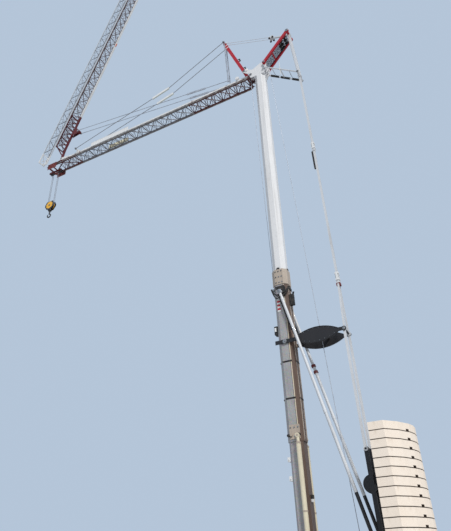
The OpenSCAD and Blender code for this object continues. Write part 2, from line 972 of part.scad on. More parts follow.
module tip_jib_end() {
    color("gray")
        folded()
            translate([0, tip_y, tip_top])
                union() {
                    truss(middle_len - tip_len, middle_len - tip_len + tip_end_len, tip_w, tip_depth,
                          50, 50, 1, 24);
                    translate([middle_len - tip_len, -tip_w / 2, -tip_depth - 25])
                        cube([50, tip_w, 50]);
                    translate([middle_len - tip_len, -25, -tip_depth])
                        cube([50, 50, tip_depth]);
                }
}

// Pendants

ear = [pivot_x + ear_run * cos(fold) - ear_up * sin(fold), 0,
       pivot_z + ear_run * sin(fold) + ear_up * cos(fold)];
ear_out = [pivot_x + ear_run, 0, pivot_z + ear_up];
head_len = 2900;
tail_len = norm(ear_out - strut_tip) - head_len;
tip_ear = norm(ear - strut_tip);
tip_ear_angle = atan2(ear.z - strut_tip.z, ear.x - strut_tip.x);
hang_angle = tip_ear_angle - acos((tip_ear * tip_ear + head_len * head_len - tail_len * tail_len)
                                  / (2 * tip_ear * head_len));
meet = strut_tip + head_len * [cos(hang_angle), 0, sin(hang_angle)];

stay_link_run = 5000;
stay_link_up = 1500;
stay_link_len = 850;
stay_link_fall = 190;

// stays of the inner section, with a pair of link plates on each
module jib_stays() {
    color("silver") {
        link_a = [mast_x + stay_link_run, 0, chord_top_z + stay_link_up];
        link_b = link_a + [stay_link_len, 0, -stay_link_fall];
        both_sides()
            difference() {
                union() {
                    rod([strut_tip.x, 200, strut_tip.z], link_a + [0, 200, 0], 30, 12);
                    rod(link_b + [0, 200, 0], [mast_x + stay_run, 200, stay_z], 30, 12);
                    bar(link_a + [-60, 200, 13], link_b + [60, 200, -13], 44, 110);
                    cross_pin(strut_tip.x, strut_tip.z, 120, 180, 220);
                    cross_pin(mast_x + stay_run, stay_z, 120, 180, 220);
                }
                cross_pin(strut_tip.x, strut_tip.z, 50 + 2 * slip, 100, 300);
                cross_pin(mast_x + stay_run, stay_z, 50 + 2 * slip, 100, 300);
            }
    }
}

head_y = 100;
tail_y = 140;
tail_d = 30;

module pendant_head() {
    color("silver")
        both_sides()
            link(strut_tip, meet, head_y, head_y + 18, 60, 110, 110, 50);
}

module pendant_tail() {
    reach = norm(meet - ear);
    along = (meet - ear) / reach;
    link = reach - 2300;
    color("silver")
        both_sides()
            difference() {
                union() {
                    rod(ear + [0, tail_y, 0], meet + [0, tail_y, 0], tail_d, 12);
                    cross_pin(ear.x, ear.z, 120, tail_y - 15, tail_y + 15);
                    cross_pin(meet.x, meet.z, 110, tail_y - 15, tail_y + 15);
                    bar(ear + link * along + [0, tail_y, 0], ear + (link + 1050) * along + [0, tail_y, 0],
                        tail_d + 4, 100);
                }
                cross_pin(ear.x, ear.z, ear_pin + 2 * slip, 0, 200);
            }
}

// Trolley and hook

fall_x = sheave_d / 2 + seat;
guide_d = 220;
wheel_d = 90;
rail_top = chord_low_z - low_chord / 2 + rail_t;
frame_z = chord_low_z - 260;
wheel_z = rail_top + wheel_d / 2 + 0.5;
side_in = jib_w / 2 + low_chord / 2 + rail_w + run_gap;
guide_x = fall_x + guide_d / 2 + seat;

module trolley_frame() {
    color("gray")
        union() {
            both_sides() {
                difference() {
                    translate([hook_x - 300, side_in, frame_z])
                        cube([600, 14, wheel_z + 60 - frame_z]);
                    for (x = [hook_x - 220, hook_x + 220])
                        cross_pin(x, wheel_z, 40 + 2 * slip, side_in - 1, side_in + 20);
                }
                side_plate([[hook_x - 420, frame_z - 60], [hook_x + 420, frame_z - 60],
                            [hook_x + 420, frame_z + 60], [hook_x - 420, frame_z + 60]], 66, 78);
            }
            for (x = [hook_x - 150, hook_x + 110])
                translate([x, -side_in - 5, frame_z])
                    cube([40, 2 * side_in + 10, 60]);
            for (x = [hook_x - guide_x, hook_x + guide_x])
                cross_pin(x, frame_z - 10, 50, -78, 78);
        }
}

module trolley_wheels() {
    color("dimgray") {
        for (x = [hook_x - 220, hook_x + 220])
            both_sides()
                union() {
                    cross_pin(x, wheel_z, wheel_d, side_in - rail_w - 2, side_in - 6);
                    cross_pin(x, wheel_z, 40, side_in - 10, side_in + 30);
                }
        for (x = [hook_x - guide_x, hook_x + guide_x])
            for (y = [-34, 34])
                difference() {
                    cross_pin(x, frame_z - 10, guide_d - rope_d, y - 26, y + 26);
                    cross_pin(x, frame_z - 10, 50 + 2 * slip, y - 40, y + 40);
                }
    }
}

module hook_block() {
    color("gold")
        union() {
            both_sides()
                side_plate([[hook_x - 150, hook_z - 260], [hook_x + 150, hook_z - 260], [hook_x + 290, hook_z - 60],
                            [hook_x + 290, hook_z + 60], [hook_x + 200, hook_z + 230],
                            [hook_x - 200, hook_z + 230], [hook_x - 290, hook_z + 60],
                            [hook_x - 290, hook_z - 60]], 70, 94);
            cross_pin(hook_x, hook_z, 70, -100, 100);
            difference() {
                translate([hook_x - 70, -75, hook_z - 330])
                    cube([140, 150, 110]);
                translate([hook_x, 0, hook_z - 400])
                    cylinder(h = 300, d = 60 + 2 * slip, $fn = 32);
            }
        }
}

module block_sheaves() {
    color("dimgray")
        for (y = [-34, 34])
            difference() {
                cross_pin(hook_x, hook_z, sheave_d - rope_d, y - 26, y + 26, 48);
                cross_pin(hook_x, hook_z, 70 + 2 * slip, y - 40, y + 40);
            }
}

module hook() {
    nut_h = 28;
    shank_top = hook_z - 220 + run_gap;
    bend_z = hook_z - 640;
    color("dimgray")
        translate([hook_x, 0, 0])
            union() {
                translate([0, 0, bend_z + 100])
                    cylinder(h = shank_top - bend_z - 100, d = 60, $fn = 32);
                translate([0, 0, shank_top])
                    cylinder(h = nut_h, d = 110, $fn = 32);
                translate([0, 0, hook_z - 330 - run_gap - 60])
                    cylinder(h = 60, d = 110, $fn = 32);
                translate([0, 0, bend_z])
                    rotate([90, 0, 0])
                        rotate([0, 0, 90])
                            rotate_extrude(angle = 270, $fn = 48)
                                translate([100, 0])
                                    circle(d = 62, $fn = 24);
                translate([100, 0, bend_z])
                    cylinder(h = 70, d = 50, $fn = 24);
            }
}

module hoist_rope() {
    color("slategray")
        for (x = [hook_x - fall_x, hook_x + fall_x])
            for (y = [-34, 34])
                translate([x, y, hook_z])
                    cylinder(h = frame_z - 10 - hook_z, d = rope_d, $fn = 8);
}

chassis_frame();
outrigger_arms();
outrigger_jacks();
jack_feet();
slewing_ring();
turntable();
platform_frame();
ballast_lower();
ballast_upper();
hoist_winch();
electric_cabinet();
hydraulic_unit();
mast_foot();
lower_mast();
mast_collar();
mast_bracket();
mast_rams();
upper_mast();
mast_boxes();
rear_struts();
spreader_arms();
tie_bars_upper();
tie_bars_middle();
tie_bars_lower();
rear_lever();
mast_head();
rear_head_frame();
tie_spacer();
front_head_strut();
head_tackle();
mast_ropes();
inner_jib_root();
inner_jib_span();
inner_jib_elbow();
jib_rails();
jib_stays();
middle_jib_root();
middle_jib_span();
middle_jib_end();
tip_jib_span();
tip_jib_end();
pendant_head();
pendant_tail();
trolley_frame();
trolley_wheels();
hook_block();
block_sheaves();
hook();
hoist_rope();
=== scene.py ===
# %% [markdown]
# # Dressing a fast-erecting tower crane
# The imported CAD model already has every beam, pin and slab in its place. This lesson adds what a
# camera sees on top of that: the finer lattice bars, the bolts, the rope falls, and paint that has
# stood outdoors for some years. Every piece is in metres, in the CAD model's own frame: the origin
# is on the slewing axis at the ground, +X runs along the jib and +Z is up.

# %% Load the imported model
import math

import bpy
import bmesh
from mathutils import Matrix, Vector


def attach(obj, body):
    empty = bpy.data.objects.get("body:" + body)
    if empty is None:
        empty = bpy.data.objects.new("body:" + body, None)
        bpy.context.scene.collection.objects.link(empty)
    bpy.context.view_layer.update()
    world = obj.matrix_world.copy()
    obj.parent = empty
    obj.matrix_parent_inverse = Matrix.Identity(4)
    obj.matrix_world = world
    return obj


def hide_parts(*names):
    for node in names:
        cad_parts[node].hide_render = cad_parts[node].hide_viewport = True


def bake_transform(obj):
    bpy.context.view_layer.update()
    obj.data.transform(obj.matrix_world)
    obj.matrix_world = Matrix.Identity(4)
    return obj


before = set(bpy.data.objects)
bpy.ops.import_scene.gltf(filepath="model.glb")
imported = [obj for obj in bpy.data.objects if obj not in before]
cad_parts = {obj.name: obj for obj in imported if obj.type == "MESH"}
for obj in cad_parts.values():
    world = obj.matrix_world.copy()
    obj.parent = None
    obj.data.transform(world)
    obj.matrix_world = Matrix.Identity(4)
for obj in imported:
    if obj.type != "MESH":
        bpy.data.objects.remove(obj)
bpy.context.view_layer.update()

# %% [markdown]
# ## The camera
# The photograph looks up from eye height, so the mast leans and the jib runs to the upper left. Its
# pose was found once by matching points of the crane with their places in the picture. It could be
# written as three angles, but a heading, a tilt and a roll about the line of sight are easier to read.

# %% Camera and colour management
CAMERA_PLACE = Vector((-4.421, 15.488, 1.6))
CAMERA_TILT = math.radians(31.1)
CAMERA_ROLL = math.radians(2.28)
FOCAL_PIXELS = 526.0
PHOTO_HEIGHT = 531
SENSOR_MM = 36.0

scene = bpy.context.scene
scene.view_settings.view_transform = "Standard"

camera_data = bpy.data.cameras.new("camera")
camera_data.lens = SENSOR_MM * FOCAL_PIXELS / PHOTO_HEIGHT
camera_data.clip_end = 500.0
camera = bpy.data.objects.new("camera", camera_data)
scene.collection.objects.link(camera)
scene.camera = camera

level_right = Vector((-0.8949, -0.4462, 0.0))
level_ahead = Vector((0.4462, -0.8949, 0.0))
sight = level_ahead * math.cos(CAMERA_TILT) + Vector((0, 0, math.sin(CAMERA_TILT)))
above = Vector((0, 0, math.cos(CAMERA_TILT))) - level_ahead * math.sin(CAMERA_TILT)
right = level_right * math.cos(CAMERA_ROLL) - above * math.sin(CAMERA_ROLL)
upward = level_right * math.sin(CAMERA_ROLL) + above * math.cos(CAMERA_ROLL)
camera_turn = Matrix((right, upward, -sight)).transposed().to_4x4()
camera.matrix_world = Matrix.Translation(CAMERA_PLACE) @ camera_turn
print("camera lens", round(camera_data.lens, 2), "mm")

# %% [markdown]
# ## The studio
# The object stands 34 m high, so lamps of studio size would have to be as large as houses. Suns with
# a wide angle give the same soft light at any distance. The floor is one pale disc. The camera, gloss
# and glass see a plain blue backdrop, and all other rays meet a weaker sky, so that the backdrop can
# be bright without lighting the object.

# %% Floor, world and lamps
FLOOR_RADIUS = 160.0
SKY_STRENGTH = 0.36
BACKDROP = (0.46, 0.56, 0.69, 1.0)


def linear(red, green, blue):
    """an 8-bit display colour as the linear values that a shader takes"""
    def one(value):
        share = value / 255.0
        return share / 12.92 if share <= 0.04045 else ((share + 0.055) / 1.055) ** 2.4
    return (one(red), one(green), one(blue), 1.0)


def sun(name, towards, strength, angle, colour):
    """a sun that shines from the side that the vector points to, with its angle in degrees"""
    lamp = bpy.data.lights.new(name, "SUN")
    lamp.energy = strength
    lamp.angle = math.radians(angle)
    lamp.color = colour
    holder = bpy.data.objects.new(name, lamp)
    holder.matrix_world = Vector(towards).to_track_quat("Z", "Y").to_matrix().to_4x4()
    scene.collection.objects.link(holder)


key_side = -0.85 * level_ahead + 0.3 * level_right + Vector((0, 0, 0.75))
fill_side = -0.4 * level_ahead - 0.9 * level_right + Vector((0, 0, 0.35))
sun("key_lamp", key_side, 2.25, 10, (1.0, 0.97, 0.92))
sun("fill_lamp", fill_side, 0.2, 60, (0.88, 0.94, 1.0))

world = bpy.data.worlds.new("studio")
scene.world = world
world.use_nodes = True

# %% [markdown]
# ## Shader maths as Python
# A procedural finish is mostly arithmetic on masks. Written with raw nodes it fills pages, so one
# small class wraps a socket and takes Python's operators, and one method adds any other node from its
# type, its settings and the values of its sockets. The same pair serves Geometry Nodes too.

# %% A wire and a bench
class Wire:
    """One output of a node tree. Arithmetic on it adds Math nodes."""

    def __init__(self, bench, socket):
        self.bench = bench
        self.socket = socket

    def __add__(self, other):
        return self.bench.maths("ADD", self, other)

    __radd__ = __add__

    def __sub__(self, other):
        return self.bench.maths("SUBTRACT", self, other)

    def __rsub__(self, other):
        return self.bench.maths("SUBTRACT", other, self)

    def __mul__(self, other):
        return self.bench.maths("MULTIPLY", self, other)

    __rmul__ = __mul__

    def __truediv__(self, other):
        return self.bench.maths("DIVIDE", self, other)

    def __abs__(self):
        return self.bench.maths("ABSOLUTE", self)


class Bench:
    """Adds nodes to a tree. Sockets are named or numbered, and take values or wires."""

    def __init__(self, tree):
        self.tree = tree

    def add(self, kind, sockets=None, out=0, **settings):
        node = self.tree.nodes.new(kind)
        for key, value in settings.items():
            setattr(node, key, value)
        for key, value in (sockets or {}).items():
            if isinstance(value, Wire):
                self.tree.links.new(value.socket, node.inputs[key])
            else:
                node.inputs[key].default_value = value
        return Wire(self, node.outputs[out])

    def maths(self, operation, first, second=0.0, clamp=False):
        return self.add("ShaderNodeMath", {0: first, 1: second}, operation=operation, use_clamp=clamp)

    def ramp(self, value, low, high):
        """0 below low, 1 above high, smooth between"""
        return self.add("ShaderNodeMapRange", {"Value": value, "From Min": low, "From Max": high},
                        interpolation_type="SMOOTHSTEP")

    def place(self, stretch=(1.0, 1.0, 1.0), centre=(0.0, 0.0, 0.0)):
        """object coordinates, moved so that centre is at 0 and then stretched"""
        spot = self.add("ShaderNodeTexCoord", out="Object")
        moved = self.add("ShaderNodeVectorMath", {0: spot, 1: centre}, operation="SUBTRACT")
        return self.add("ShaderNodeVectorMath", {0: moved, 1: stretch}, operation="MULTIPLY")

    def axes(self, vector):
        first = self.add("ShaderNodeSeparateXYZ", {0: vector})
        node = first.socket.node
        return [Wire(self, node.outputs[i]) for i in range(3)]

    def noise(self, vector, scale, detail=3.0, roughness=0.55):
        return self.add("ShaderNodeTexNoise", {"Vector": vector, "Scale": scale, "Detail": detail,
                                               "Roughness": roughness})

    def cells(self, vector, scale, out="Color"):
        return self.add("ShaderNodeTexVoronoi", {"Vector": vector, "Scale": scale}, out=out)

    def blend(self, share, low, high):
        return self.add("ShaderNodeMix", {0: share, 6: low, 7: high}, out=2, data_type="RGBA")

    def lighter_of(self, *masks):
        best = masks[0]
        for mask in masks[1:]:
            best = self.maths("MAXIMUM", best, mask)
        return best


print("wires and benches ready")

# %% Backdrop and floor
world.node_tree.nodes.clear()
sky = Bench(world.node_tree)
ray = world.node_tree.nodes.new("ShaderNodeLightPath")
ray_kinds = ("Is Camera Ray", "Is Glossy Ray", "Is Transmission Ray")
seen = sky.lighter_of(*[Wire(sky, ray.outputs[kind]) for kind in ray_kinds])
soft = sky.add("ShaderNodeBackground", {"Color": (0.92, 0.95, 1.0, 1.0), "Strength": SKY_STRENGTH})
pale = sky.add("ShaderNodeBackground", {"Color": BACKDROP, "Strength": 1.0})
either = sky.add("ShaderNodeMixShader", {0: seen, 1: soft, 2: pale})
sky_end = world.node_tree.nodes.new("ShaderNodeOutputWorld")
world.node_tree.links.new(either.socket, sky_end.inputs["Surface"])

floor_material = bpy.data.materials.new("studio_floor")
floor_material.use_nodes = True
floor_bench = Bench(floor_material.node_tree)
floor_shader = floor_material.node_tree.nodes["Principled BSDF"]
floor_shader.inputs["Roughness"].default_value = 0.9
speckle = floor_bench.noise(floor_bench.place(), 0.4)
floor_tone = floor_bench.blend(speckle, (0.56, 0.58, 0.60, 1.0), (0.64, 0.66, 0.68, 1.0))
floor_material.node_tree.links.new(floor_tone.socket, floor_shader.inputs["Base Color"])

floor_mesh = bpy.data.meshes.new("studio_floor")
disc = bmesh.new()
bmesh.ops.create_circle(disc, cap_ends=True, segments=96, radius=FLOOR_RADIUS)
disc.to_mesh(floor_mesh)
disc.free()
floor_mesh.materials.append(floor_material)
floor = bpy.data.objects.new("studio_floor", floor_mesh)
scene.collection.objects.link(floor)
print("floor", FLOOR_RADIUS, "m in radius")

# %% [markdown]
# ## Paint that has stood outdoors
# Nearly every beam is painted steel: a coat with a faint orange peel, paler where the sun reached it,
# streaked where rain ran down and dull where dust has settled. One function makes them all, and each
# finish sets how much it has of each. Streaks are noise on coordinates that are squeezed along Z,
# which is cheaper and steadier than drawing them.

# %% The weathered paint
GRIME = linear(96, 86, 74)
RUST = linear(112, 62, 36)


class Finish:
    """A material under way: its bench, its shader and the masks it has so far."""

    def __init__(self, name, roughness=0.5, metallic=0.0, coat=0.0):
        self.material = bpy.data.materials.new(name)
        self.material.use_nodes = True
        self.bench = Bench(self.material.node_tree)
        self.shader = self.material.node_tree.nodes["Principled BSDF"]
        self.shader.inputs["Roughness"].default_value = roughness
        self.shader.inputs["Metallic"].default_value = metallic
        self.shader.inputs["Coat Weight"].default_value = coat

    def feed(self, socket, wire):
        self.material.node_tree.links.new(wire.socket, self.shader.inputs[socket])

    def bump(self, height, strength, distance):
        self.feed("Normal", self.bench.add("ShaderNodeBump", {"Height": height, "Strength": strength,
                                                              "Distance": distance}))


def streaks(bench, width=7.0, length=0.45):
    """vertical runs of rain and dirt, 0 to 1"""
    wide = bench.noise(bench.place((width, width, length)), 1.0, 4.0, 0.6)
    fine = bench.noise(bench.place((4 * width, 4 * width, length)), 1.0, 3.0, 0.6)
    return bench.ramp(0.6 * wide + 0.4 * fine, 0.46, 0.72)


def weathered(name, colour, fade=1.12, grime=0.35, rust=0.0, roughness=0.42, coat=0.0, tone=None):
    """painted steel; tone may repaint the clean coat from the bench before the weather gets to it"""
    finish = Finish(name, roughness, 0.0, coat)
    bench = finish.bench
    clouds = bench.noise(bench.place(), 1.3, 4.0)
    faded = tuple(min(1.0, part * fade) for part in colour[:3]) + (1.0,)
    clean = bench.blend(bench.ramp(clouds, 0.35, 0.7), colour, faded)
    if tone:
        clean = tone(bench, clean)
    runs = streaks(bench)
    dust = bench.ramp(bench.noise(bench.place(), 9.0, 5.0), 0.5, 0.78)
    dirty = bench.blend((0.65 * runs + 0.35 * dust) * grime, clean, GRIME)
    if rust > 0.0:
        spots = bench.ramp(bench.noise(bench.place(), 26.0, 4.0, 0.65), 0.6, 0.72)
        dirty = bench.blend(bench.maths("MULTIPLY", spots * rust, 0.5 + runs, clamp=True), dirty, RUST)
    finish.feed("Base Color", dirty)
    finish.feed("Roughness", roughness + 0.28 * dust * (0.4 + grime) + 0.08 * clouds)
    peel = bench.noise(bench.place(), 90.0, 2.0)
    finish.bump(0.7 * peel + 0.3 * runs, 0.25, 0.0015)
    return finish.material


print("weathered paint ready")

# %% [markdown]
# ### The mast's facets
# The lower mast is a rolled tube whose rear corners carry rails for the climbing section. They are
# coloured brown, darker and lighter in vertical runs; in front of them a pale edge is a painted highlight
# and a dark seam is painted shade. The strips run the whole height, so their masks are just ranges of
# X, which is simpler than a second material on cut faces.

# %% Paint of the lower mast
MAST_X = 1.1
# how far behind the mast's axis the brown strips, the painted highlight on their edge and the painted shade
# of the seam begin
STRIP_EDGE = 0.146
STRIP_HIGHLIGHT = 0.118
SHADE_SEAM = 0.102
EDGE_BLUR = 0.004


def mast_facets(bench, clean):
    x, _, _ = bench.axes(bench.place(centre=(MAST_X, 0.0, 0.0)))
    back = -1.0 * x
    behind = bench.ramp(back, STRIP_EDGE, STRIP_EDGE + EDGE_BLUR)
    edge = bench.ramp(back, STRIP_HIGHLIGHT, STRIP_HIGHLIGHT + EDGE_BLUR)
    brown_runs = bench.noise(bench.place((9.0, 9.0, 0.8)), 1.0, 4.0)
    brown = bench.blend(brown_runs, linear(58, 44, 40), linear(118, 94, 80))
    # painted shade: a dark seam along the rear corner
    shade_seam = bench.ramp(back, SHADE_SEAM, SHADE_SEAM + EDGE_BLUR)
    shaded = bench.blend(shade_seam, clean, linear(52, 44, 40))
    # painted highlight: a pale cream edge beside the seam
    highlit_edge = bench.blend(edge, shaded, linear(222, 210, 188))
    spangle = bench.cells(bench.place(), 42.0)
    zinc = bench.blend(0.12, highlit_edge, spangle)
    return bench.blend(behind, zinc, brown)


# %% [markdown]
# ### The lattice's pale chords
# The jib's top chord is white over its whole length, a painted highlight where the sun falls on it, while
# the bars below it are dull grey, so the colour changes with height. On the leaning sections the same
# rule holds in their own frame, which is found by turning the coordinates back about the folding pivot.
# The tip section has pale chords at two levels.

# %% Paint of the lattices
PIVOT = Vector((13.15, 0.0, 21.98))
FOLD = math.radians(111.3)
CHORD_TOP = 21.9
TIP_CHORDS = (-0.14, -0.54)
WHITE = linear(232, 235, 238)


def level_chord_highlight(bench, clean):
    _, _, z = bench.axes(bench.place(centre=(0.0, 0.0, CHORD_TOP)))
    # painted highlight: white along the top chord, where the sun falls on it
    return bench.blend(bench.ramp(z, -0.075, -0.06), clean, WHITE)


def local_height(bench):
    """height above the folding pivot in the leaning sections' own frame"""
    x, _, z = bench.axes(bench.place(centre=PIVOT))
    return z * math.cos(FOLD) - x * math.sin(FOLD)


def leaning_chord_highlight(bench, clean):
    # painted highlight: white along the leaning sections' top chord, where the sun falls on it
    return bench.blend(bench.ramp(local_height(bench), -0.14, -0.125), clean, WHITE)


def side_chord(bench, clean):
    local = local_height(bench)
    chords = [bench.ramp(abs(local - level), 0.034, 0.028) for level in TIP_CHORDS]
    return bench.blend(bench.lighter_of(*chords), clean, linear(206, 216, 228))


# %% [markdown]
# ### Cast slabs
# The ballast is a stack of cast concrete slabs, cream with a warm cast. Concrete shows pores, a slow
# change of tone inside each slab, and stains that start at the upper joint and fade downwards. The
# joint's place follows from the slab's pitch, so the fraction of the height gives the whole pattern.
# Each joint is a dark band, partly dirt and partly painted shade in the recess. Two pockets for the
# lifting gear show at each slab's rear, near-black inside with painted shade.

# %% Concrete
SLAB_BASE = 1.4203
SLAB_PITCH = 0.2306
POCKET_Y = 0.535


def cast_concrete(name):
    finish = Finish(name, 0.86)
    bench = finish.bench
    x, y, z = bench.axes(bench.place(centre=(0.0, 0.0, SLAB_BASE)))
    level = bench.maths("FRACT", z / SLAB_PITCH)
    slab = bench.maths("FLOOR", z / SLAB_PITCH)
    tint = bench.add("ShaderNodeTexWhiteNoise", {"W": slab}, noise_dimensions="1D")
    clouds = bench.noise(bench.place(), 2.2, 5.0)
    clean = bench.blend(clouds, linear(248, 234, 220), linear(255, 246, 236))
    clean = bench.blend(tint * 0.4, clean, linear(250, 236, 220))
    runs = bench.noise(bench.place((11.0, 11.0, 1.2)), 1.0, 4.0, 0.6)
    stain = bench.ramp(runs, 0.5, 0.75) * bench.ramp(level, 0.35, 0.98)
    clean = bench.blend(0.35 * stain, clean, linear(196, 178, 152))
    pores = bench.ramp(bench.cells(bench.place(), 34.0, "Distance"), 0.16, 0.06)
    grit = bench.noise(bench.place(), 120.0, 3.0)
    clean = bench.blend(0.25 * pores, clean, linear(170, 156, 138))
    # a dark band at each joint: partly dirt, partly painted shade in the recess
    joint = bench.ramp(level, 0.125, 0.085)
    # painted shade: near-black inside the lifting pockets at the slabs' rear
    inside = bench.ramp(abs(abs(y) - POCKET_Y), 0.06, 0.05) * bench.ramp(x, -2.08, -2.12)
    pocket_shade = inside * bench.ramp(level, 0.36, 0.3)
    dark = bench.lighter_of(0.95 * joint, pocket_shade)
    finish.feed("Base Color", bench.blend(dark, clean, linear(58, 46, 38)))
    finish.feed("Roughness", 0.8 + 0.12 * grit)
    finish.bump(0.5 * grit + 0.5 * (1.0 - pores), 0.35, 0.003)
    return finish.material


# %% [markdown]
# ### Metal that works
# Sheaves, rails and the hook are bare: dark where grease holds dust and bright where the rope or the
# wheels run. Wire rope gets its lay from a sine across its own length. Zinc has its flaky spangle from
# cells of slightly different grey.

# %% Bare metal, zinc, rope, rubber and the hook block
def worked_metal(name, dark, bright, roughness=0.45):
    finish = Finish(name, roughness, 0.85)
    bench = finish.bench
    wear = bench.ramp(bench.noise(bench.place(), 6.0, 5.0), 0.4, 0.7)
    scratches = bench.noise(bench.place((60.0, 8.0, 60.0)), 1.0, 3.0)
    finish.feed("Base Color", bench.blend(0.7 * wear + 0.3 * scratches, dark, bright))
    finish.feed("Roughness", 0.62 - 0.3 * wear + 0.12 * scratches)
    finish.feed("Metallic", 0.6 + 0.35 * wear)
    finish.bump(scratches, 0.2, 0.001)
    return finish.material


def zinc_coat(name, tint, metallic=0.45):
    finish = Finish(name, 0.42, metallic)
    bench = finish.bench
    flakes = bench.add("ShaderNodeSeparateColor", {0: bench.cells(bench.place(), 46.0)})
    clouds = bench.noise(bench.place(), 1.6, 4.0)
    dark = tuple(part * 0.78 for part in tint[:3]) + (1.0,)
    runs = streaks(bench)
    coat = bench.blend(0.45 * flakes + 0.55 * clouds, dark, tint)
    finish.feed("Base Color", bench.blend(0.3 * runs, coat, GRIME))
    finish.feed("Roughness", 0.34 + 0.16 * flakes + 0.15 * runs)
    finish.bump(flakes, 0.15, 0.0008)
    return finish.material


STAY_PLATE_START = 6.02
STAY_PLATE_END = 7.03


def stay_plates(bench, clean):
    """the link plates in the stays are painted, so the rope's colour ends at them"""
    x, _, _ = bench.axes(bench.place())
    along = bench.ramp(x, STAY_PLATE_START, STAY_PLATE_START + 0.01)
    painted = along * bench.ramp(x, STAY_PLATE_END, STAY_PLATE_END - 0.01)
    return bench.blend(painted, clean, linear(216, 224, 214))


def wire_rope(name, bright, tone=None):
    finish = Finish(name, 0.55, 0.5)
    bench = finish.bench
    x, y, z = bench.axes(bench.place())
    lay = bench.maths("SINE", 260.0 * z + 180.0 * x + 240.0 * y)
    oil = bench.ramp(bench.noise(bench.place(), 5.0, 4.0), 0.4, 0.7)
    clean = bench.blend(0.4 * oil + 0.2 * lay, bright, linear(66, 66, 68))
    finish.feed("Base Color", tone(bench, clean) if tone else clean)
    finish.feed("Roughness", 0.5 - 0.15 * oil)
    finish.bump(lay, 0.5, 0.002)
    return finish.material


def moulded_rubber(name, tone):
    finish = Finish(name, 0.78)
    bench = finish.bench
    dust = bench.ramp(bench.noise(bench.place(), 14.0, 5.0), 0.45, 0.75)
    finish.feed("Base Color", bench.blend(0.4 * dust, tone, linear(112, 106, 98)))
    finish.feed("Roughness", 0.7 + 0.18 * dust)
    finish.bump(bench.noise(bench.place(), 160.0, 2.0), 0.2, 0.001)
    return finish.material


HOOK_X = 13.4
HOOK_Z = 18.83


def cheek_border(bench, clean):
    """the block's cheeks have a black border, outside a circle about the sheaves' axle"""
    x, _, z = bench.axes(bench.place(centre=(HOOK_X, 0.0, HOOK_Z)))
    reach = bench.maths("SQRT", x * x + z * z)
    return bench.blend(bench.ramp(reach, 0.212, 0.218), clean, linear(22, 22, 24))


# %% [markdown]
# ### The finishes by name
# A line of weathered paint gives the coat's colour, how far it fades, and its share of grime and of
# rust. Its roughness, its clear coat and the function that repaints it follow where they differ.

# %% Finishes
finishes = {
    "mast_white": weathered("mast_white", linear(230, 232, 236), 1.05, 0.3, 0.05, 0.34, 0.15),
    "strut_white": weathered("strut_white", linear(214, 219, 226), 1.06, 0.35, 0.1, 0.36, 0.1),
    "mast_grey": weathered("mast_grey", linear(160, 160, 164), 1.18, 0.4, 0.12, 0.45, 0.0, mast_facets),
    "collar_beige": weathered("collar_beige", linear(184, 172, 160), 1.06, 0.45, 0.1, 0.48),
    "ram_cream": weathered("ram_cream", linear(226, 218, 194), 1.06, 0.35, 0.06, 0.38, 0.1),
    "cabinet_white": weathered("cabinet_white", linear(222, 224, 224), 1.06, 0.3, 0.04, 0.4),
    "pump_grey": weathered("pump_grey", linear(120, 124, 128), 1.1, 0.45, 0.08, 0.46),
    "head_red": weathered("head_red", linear(176, 8, 34), 1.06, 0.08, 0.03, 0.42),
    "jib_dark_red": weathered("jib_dark_red", linear(74, 24, 28), 1.3, 0.4, 0.35, 0.46, 0.0, level_chord_highlight),
    "middle_dark_red": weathered("middle_dark_red", linear(92, 22, 30), 1.3, 0.35, 0.35, 0.44),
    "trolley_red": weathered("trolley_red", linear(104, 30, 28), 1.2, 0.45, 0.4, 0.48),
    "jib_grey": weathered("jib_grey", linear(98, 98, 106), 1.15, 0.35, 0.12, 0.42, 0.0, level_chord_highlight),
    "middle_grey": weathered("middle_grey", linear(104, 78, 74), 1.2, 0.4, 0.3, 0.42, 0.0, leaning_chord_highlight),
    "tip_grey": weathered("tip_grey", linear(92, 92, 100), 1.12, 0.3, 0.15, 0.4, 0.0, side_chord),
    "tip_white": weathered("tip_white", WHITE, 1.04, 0.25, 0.05, 0.36),
    "frame_black": weathered("frame_black", linear(24, 24, 28), 1.4, 0.16, 0.08, 0.46),
    "panel_black": weathered("panel_black", linear(24, 23, 27), 1.2, 0.1, 0.0, 0.5),
    "block_yellow": weathered("block_yellow", linear(236, 178, 34), 1.1, 0.3, 0.15, 0.36, 0.2, cheek_border),
    "bracket_orange": weathered("bracket_orange", linear(214, 96, 34), 1.1, 0.3, 0.1, 0.4),
    "concrete": cast_concrete("concrete"),
    "zinc": zinc_coat("zinc", linear(196, 202, 210)),
    "tie_zinc": zinc_coat("tie_zinc", linear(226, 230, 236), 0.1),
    "cast_metal": worked_metal("cast_metal", linear(46, 46, 48), linear(118, 118, 120)),
    "rail_metal": worked_metal("rail_metal", linear(104, 98, 92), linear(196, 194, 190)),
    "bolt_metal": worked_metal("bolt_metal", linear(96, 98, 102), linear(176, 180, 184), 0.4),
    "rope": wire_rope("rope", linear(132, 134, 140)),
    "pale_rope": wire_rope("pale_rope", linear(190, 196, 206)),
    "stay_rope": wire_rope("stay_rope", linear(150, 150, 154), stay_plates),
    "board_cream": weathered("board_cream", linear(240, 234, 206), 1.03, 0.18, 0.0, 0.5),
    "rubber": moulded_rubber("rubber", linear(26, 26, 28)),
}
print(len(finishes), "finishes made")

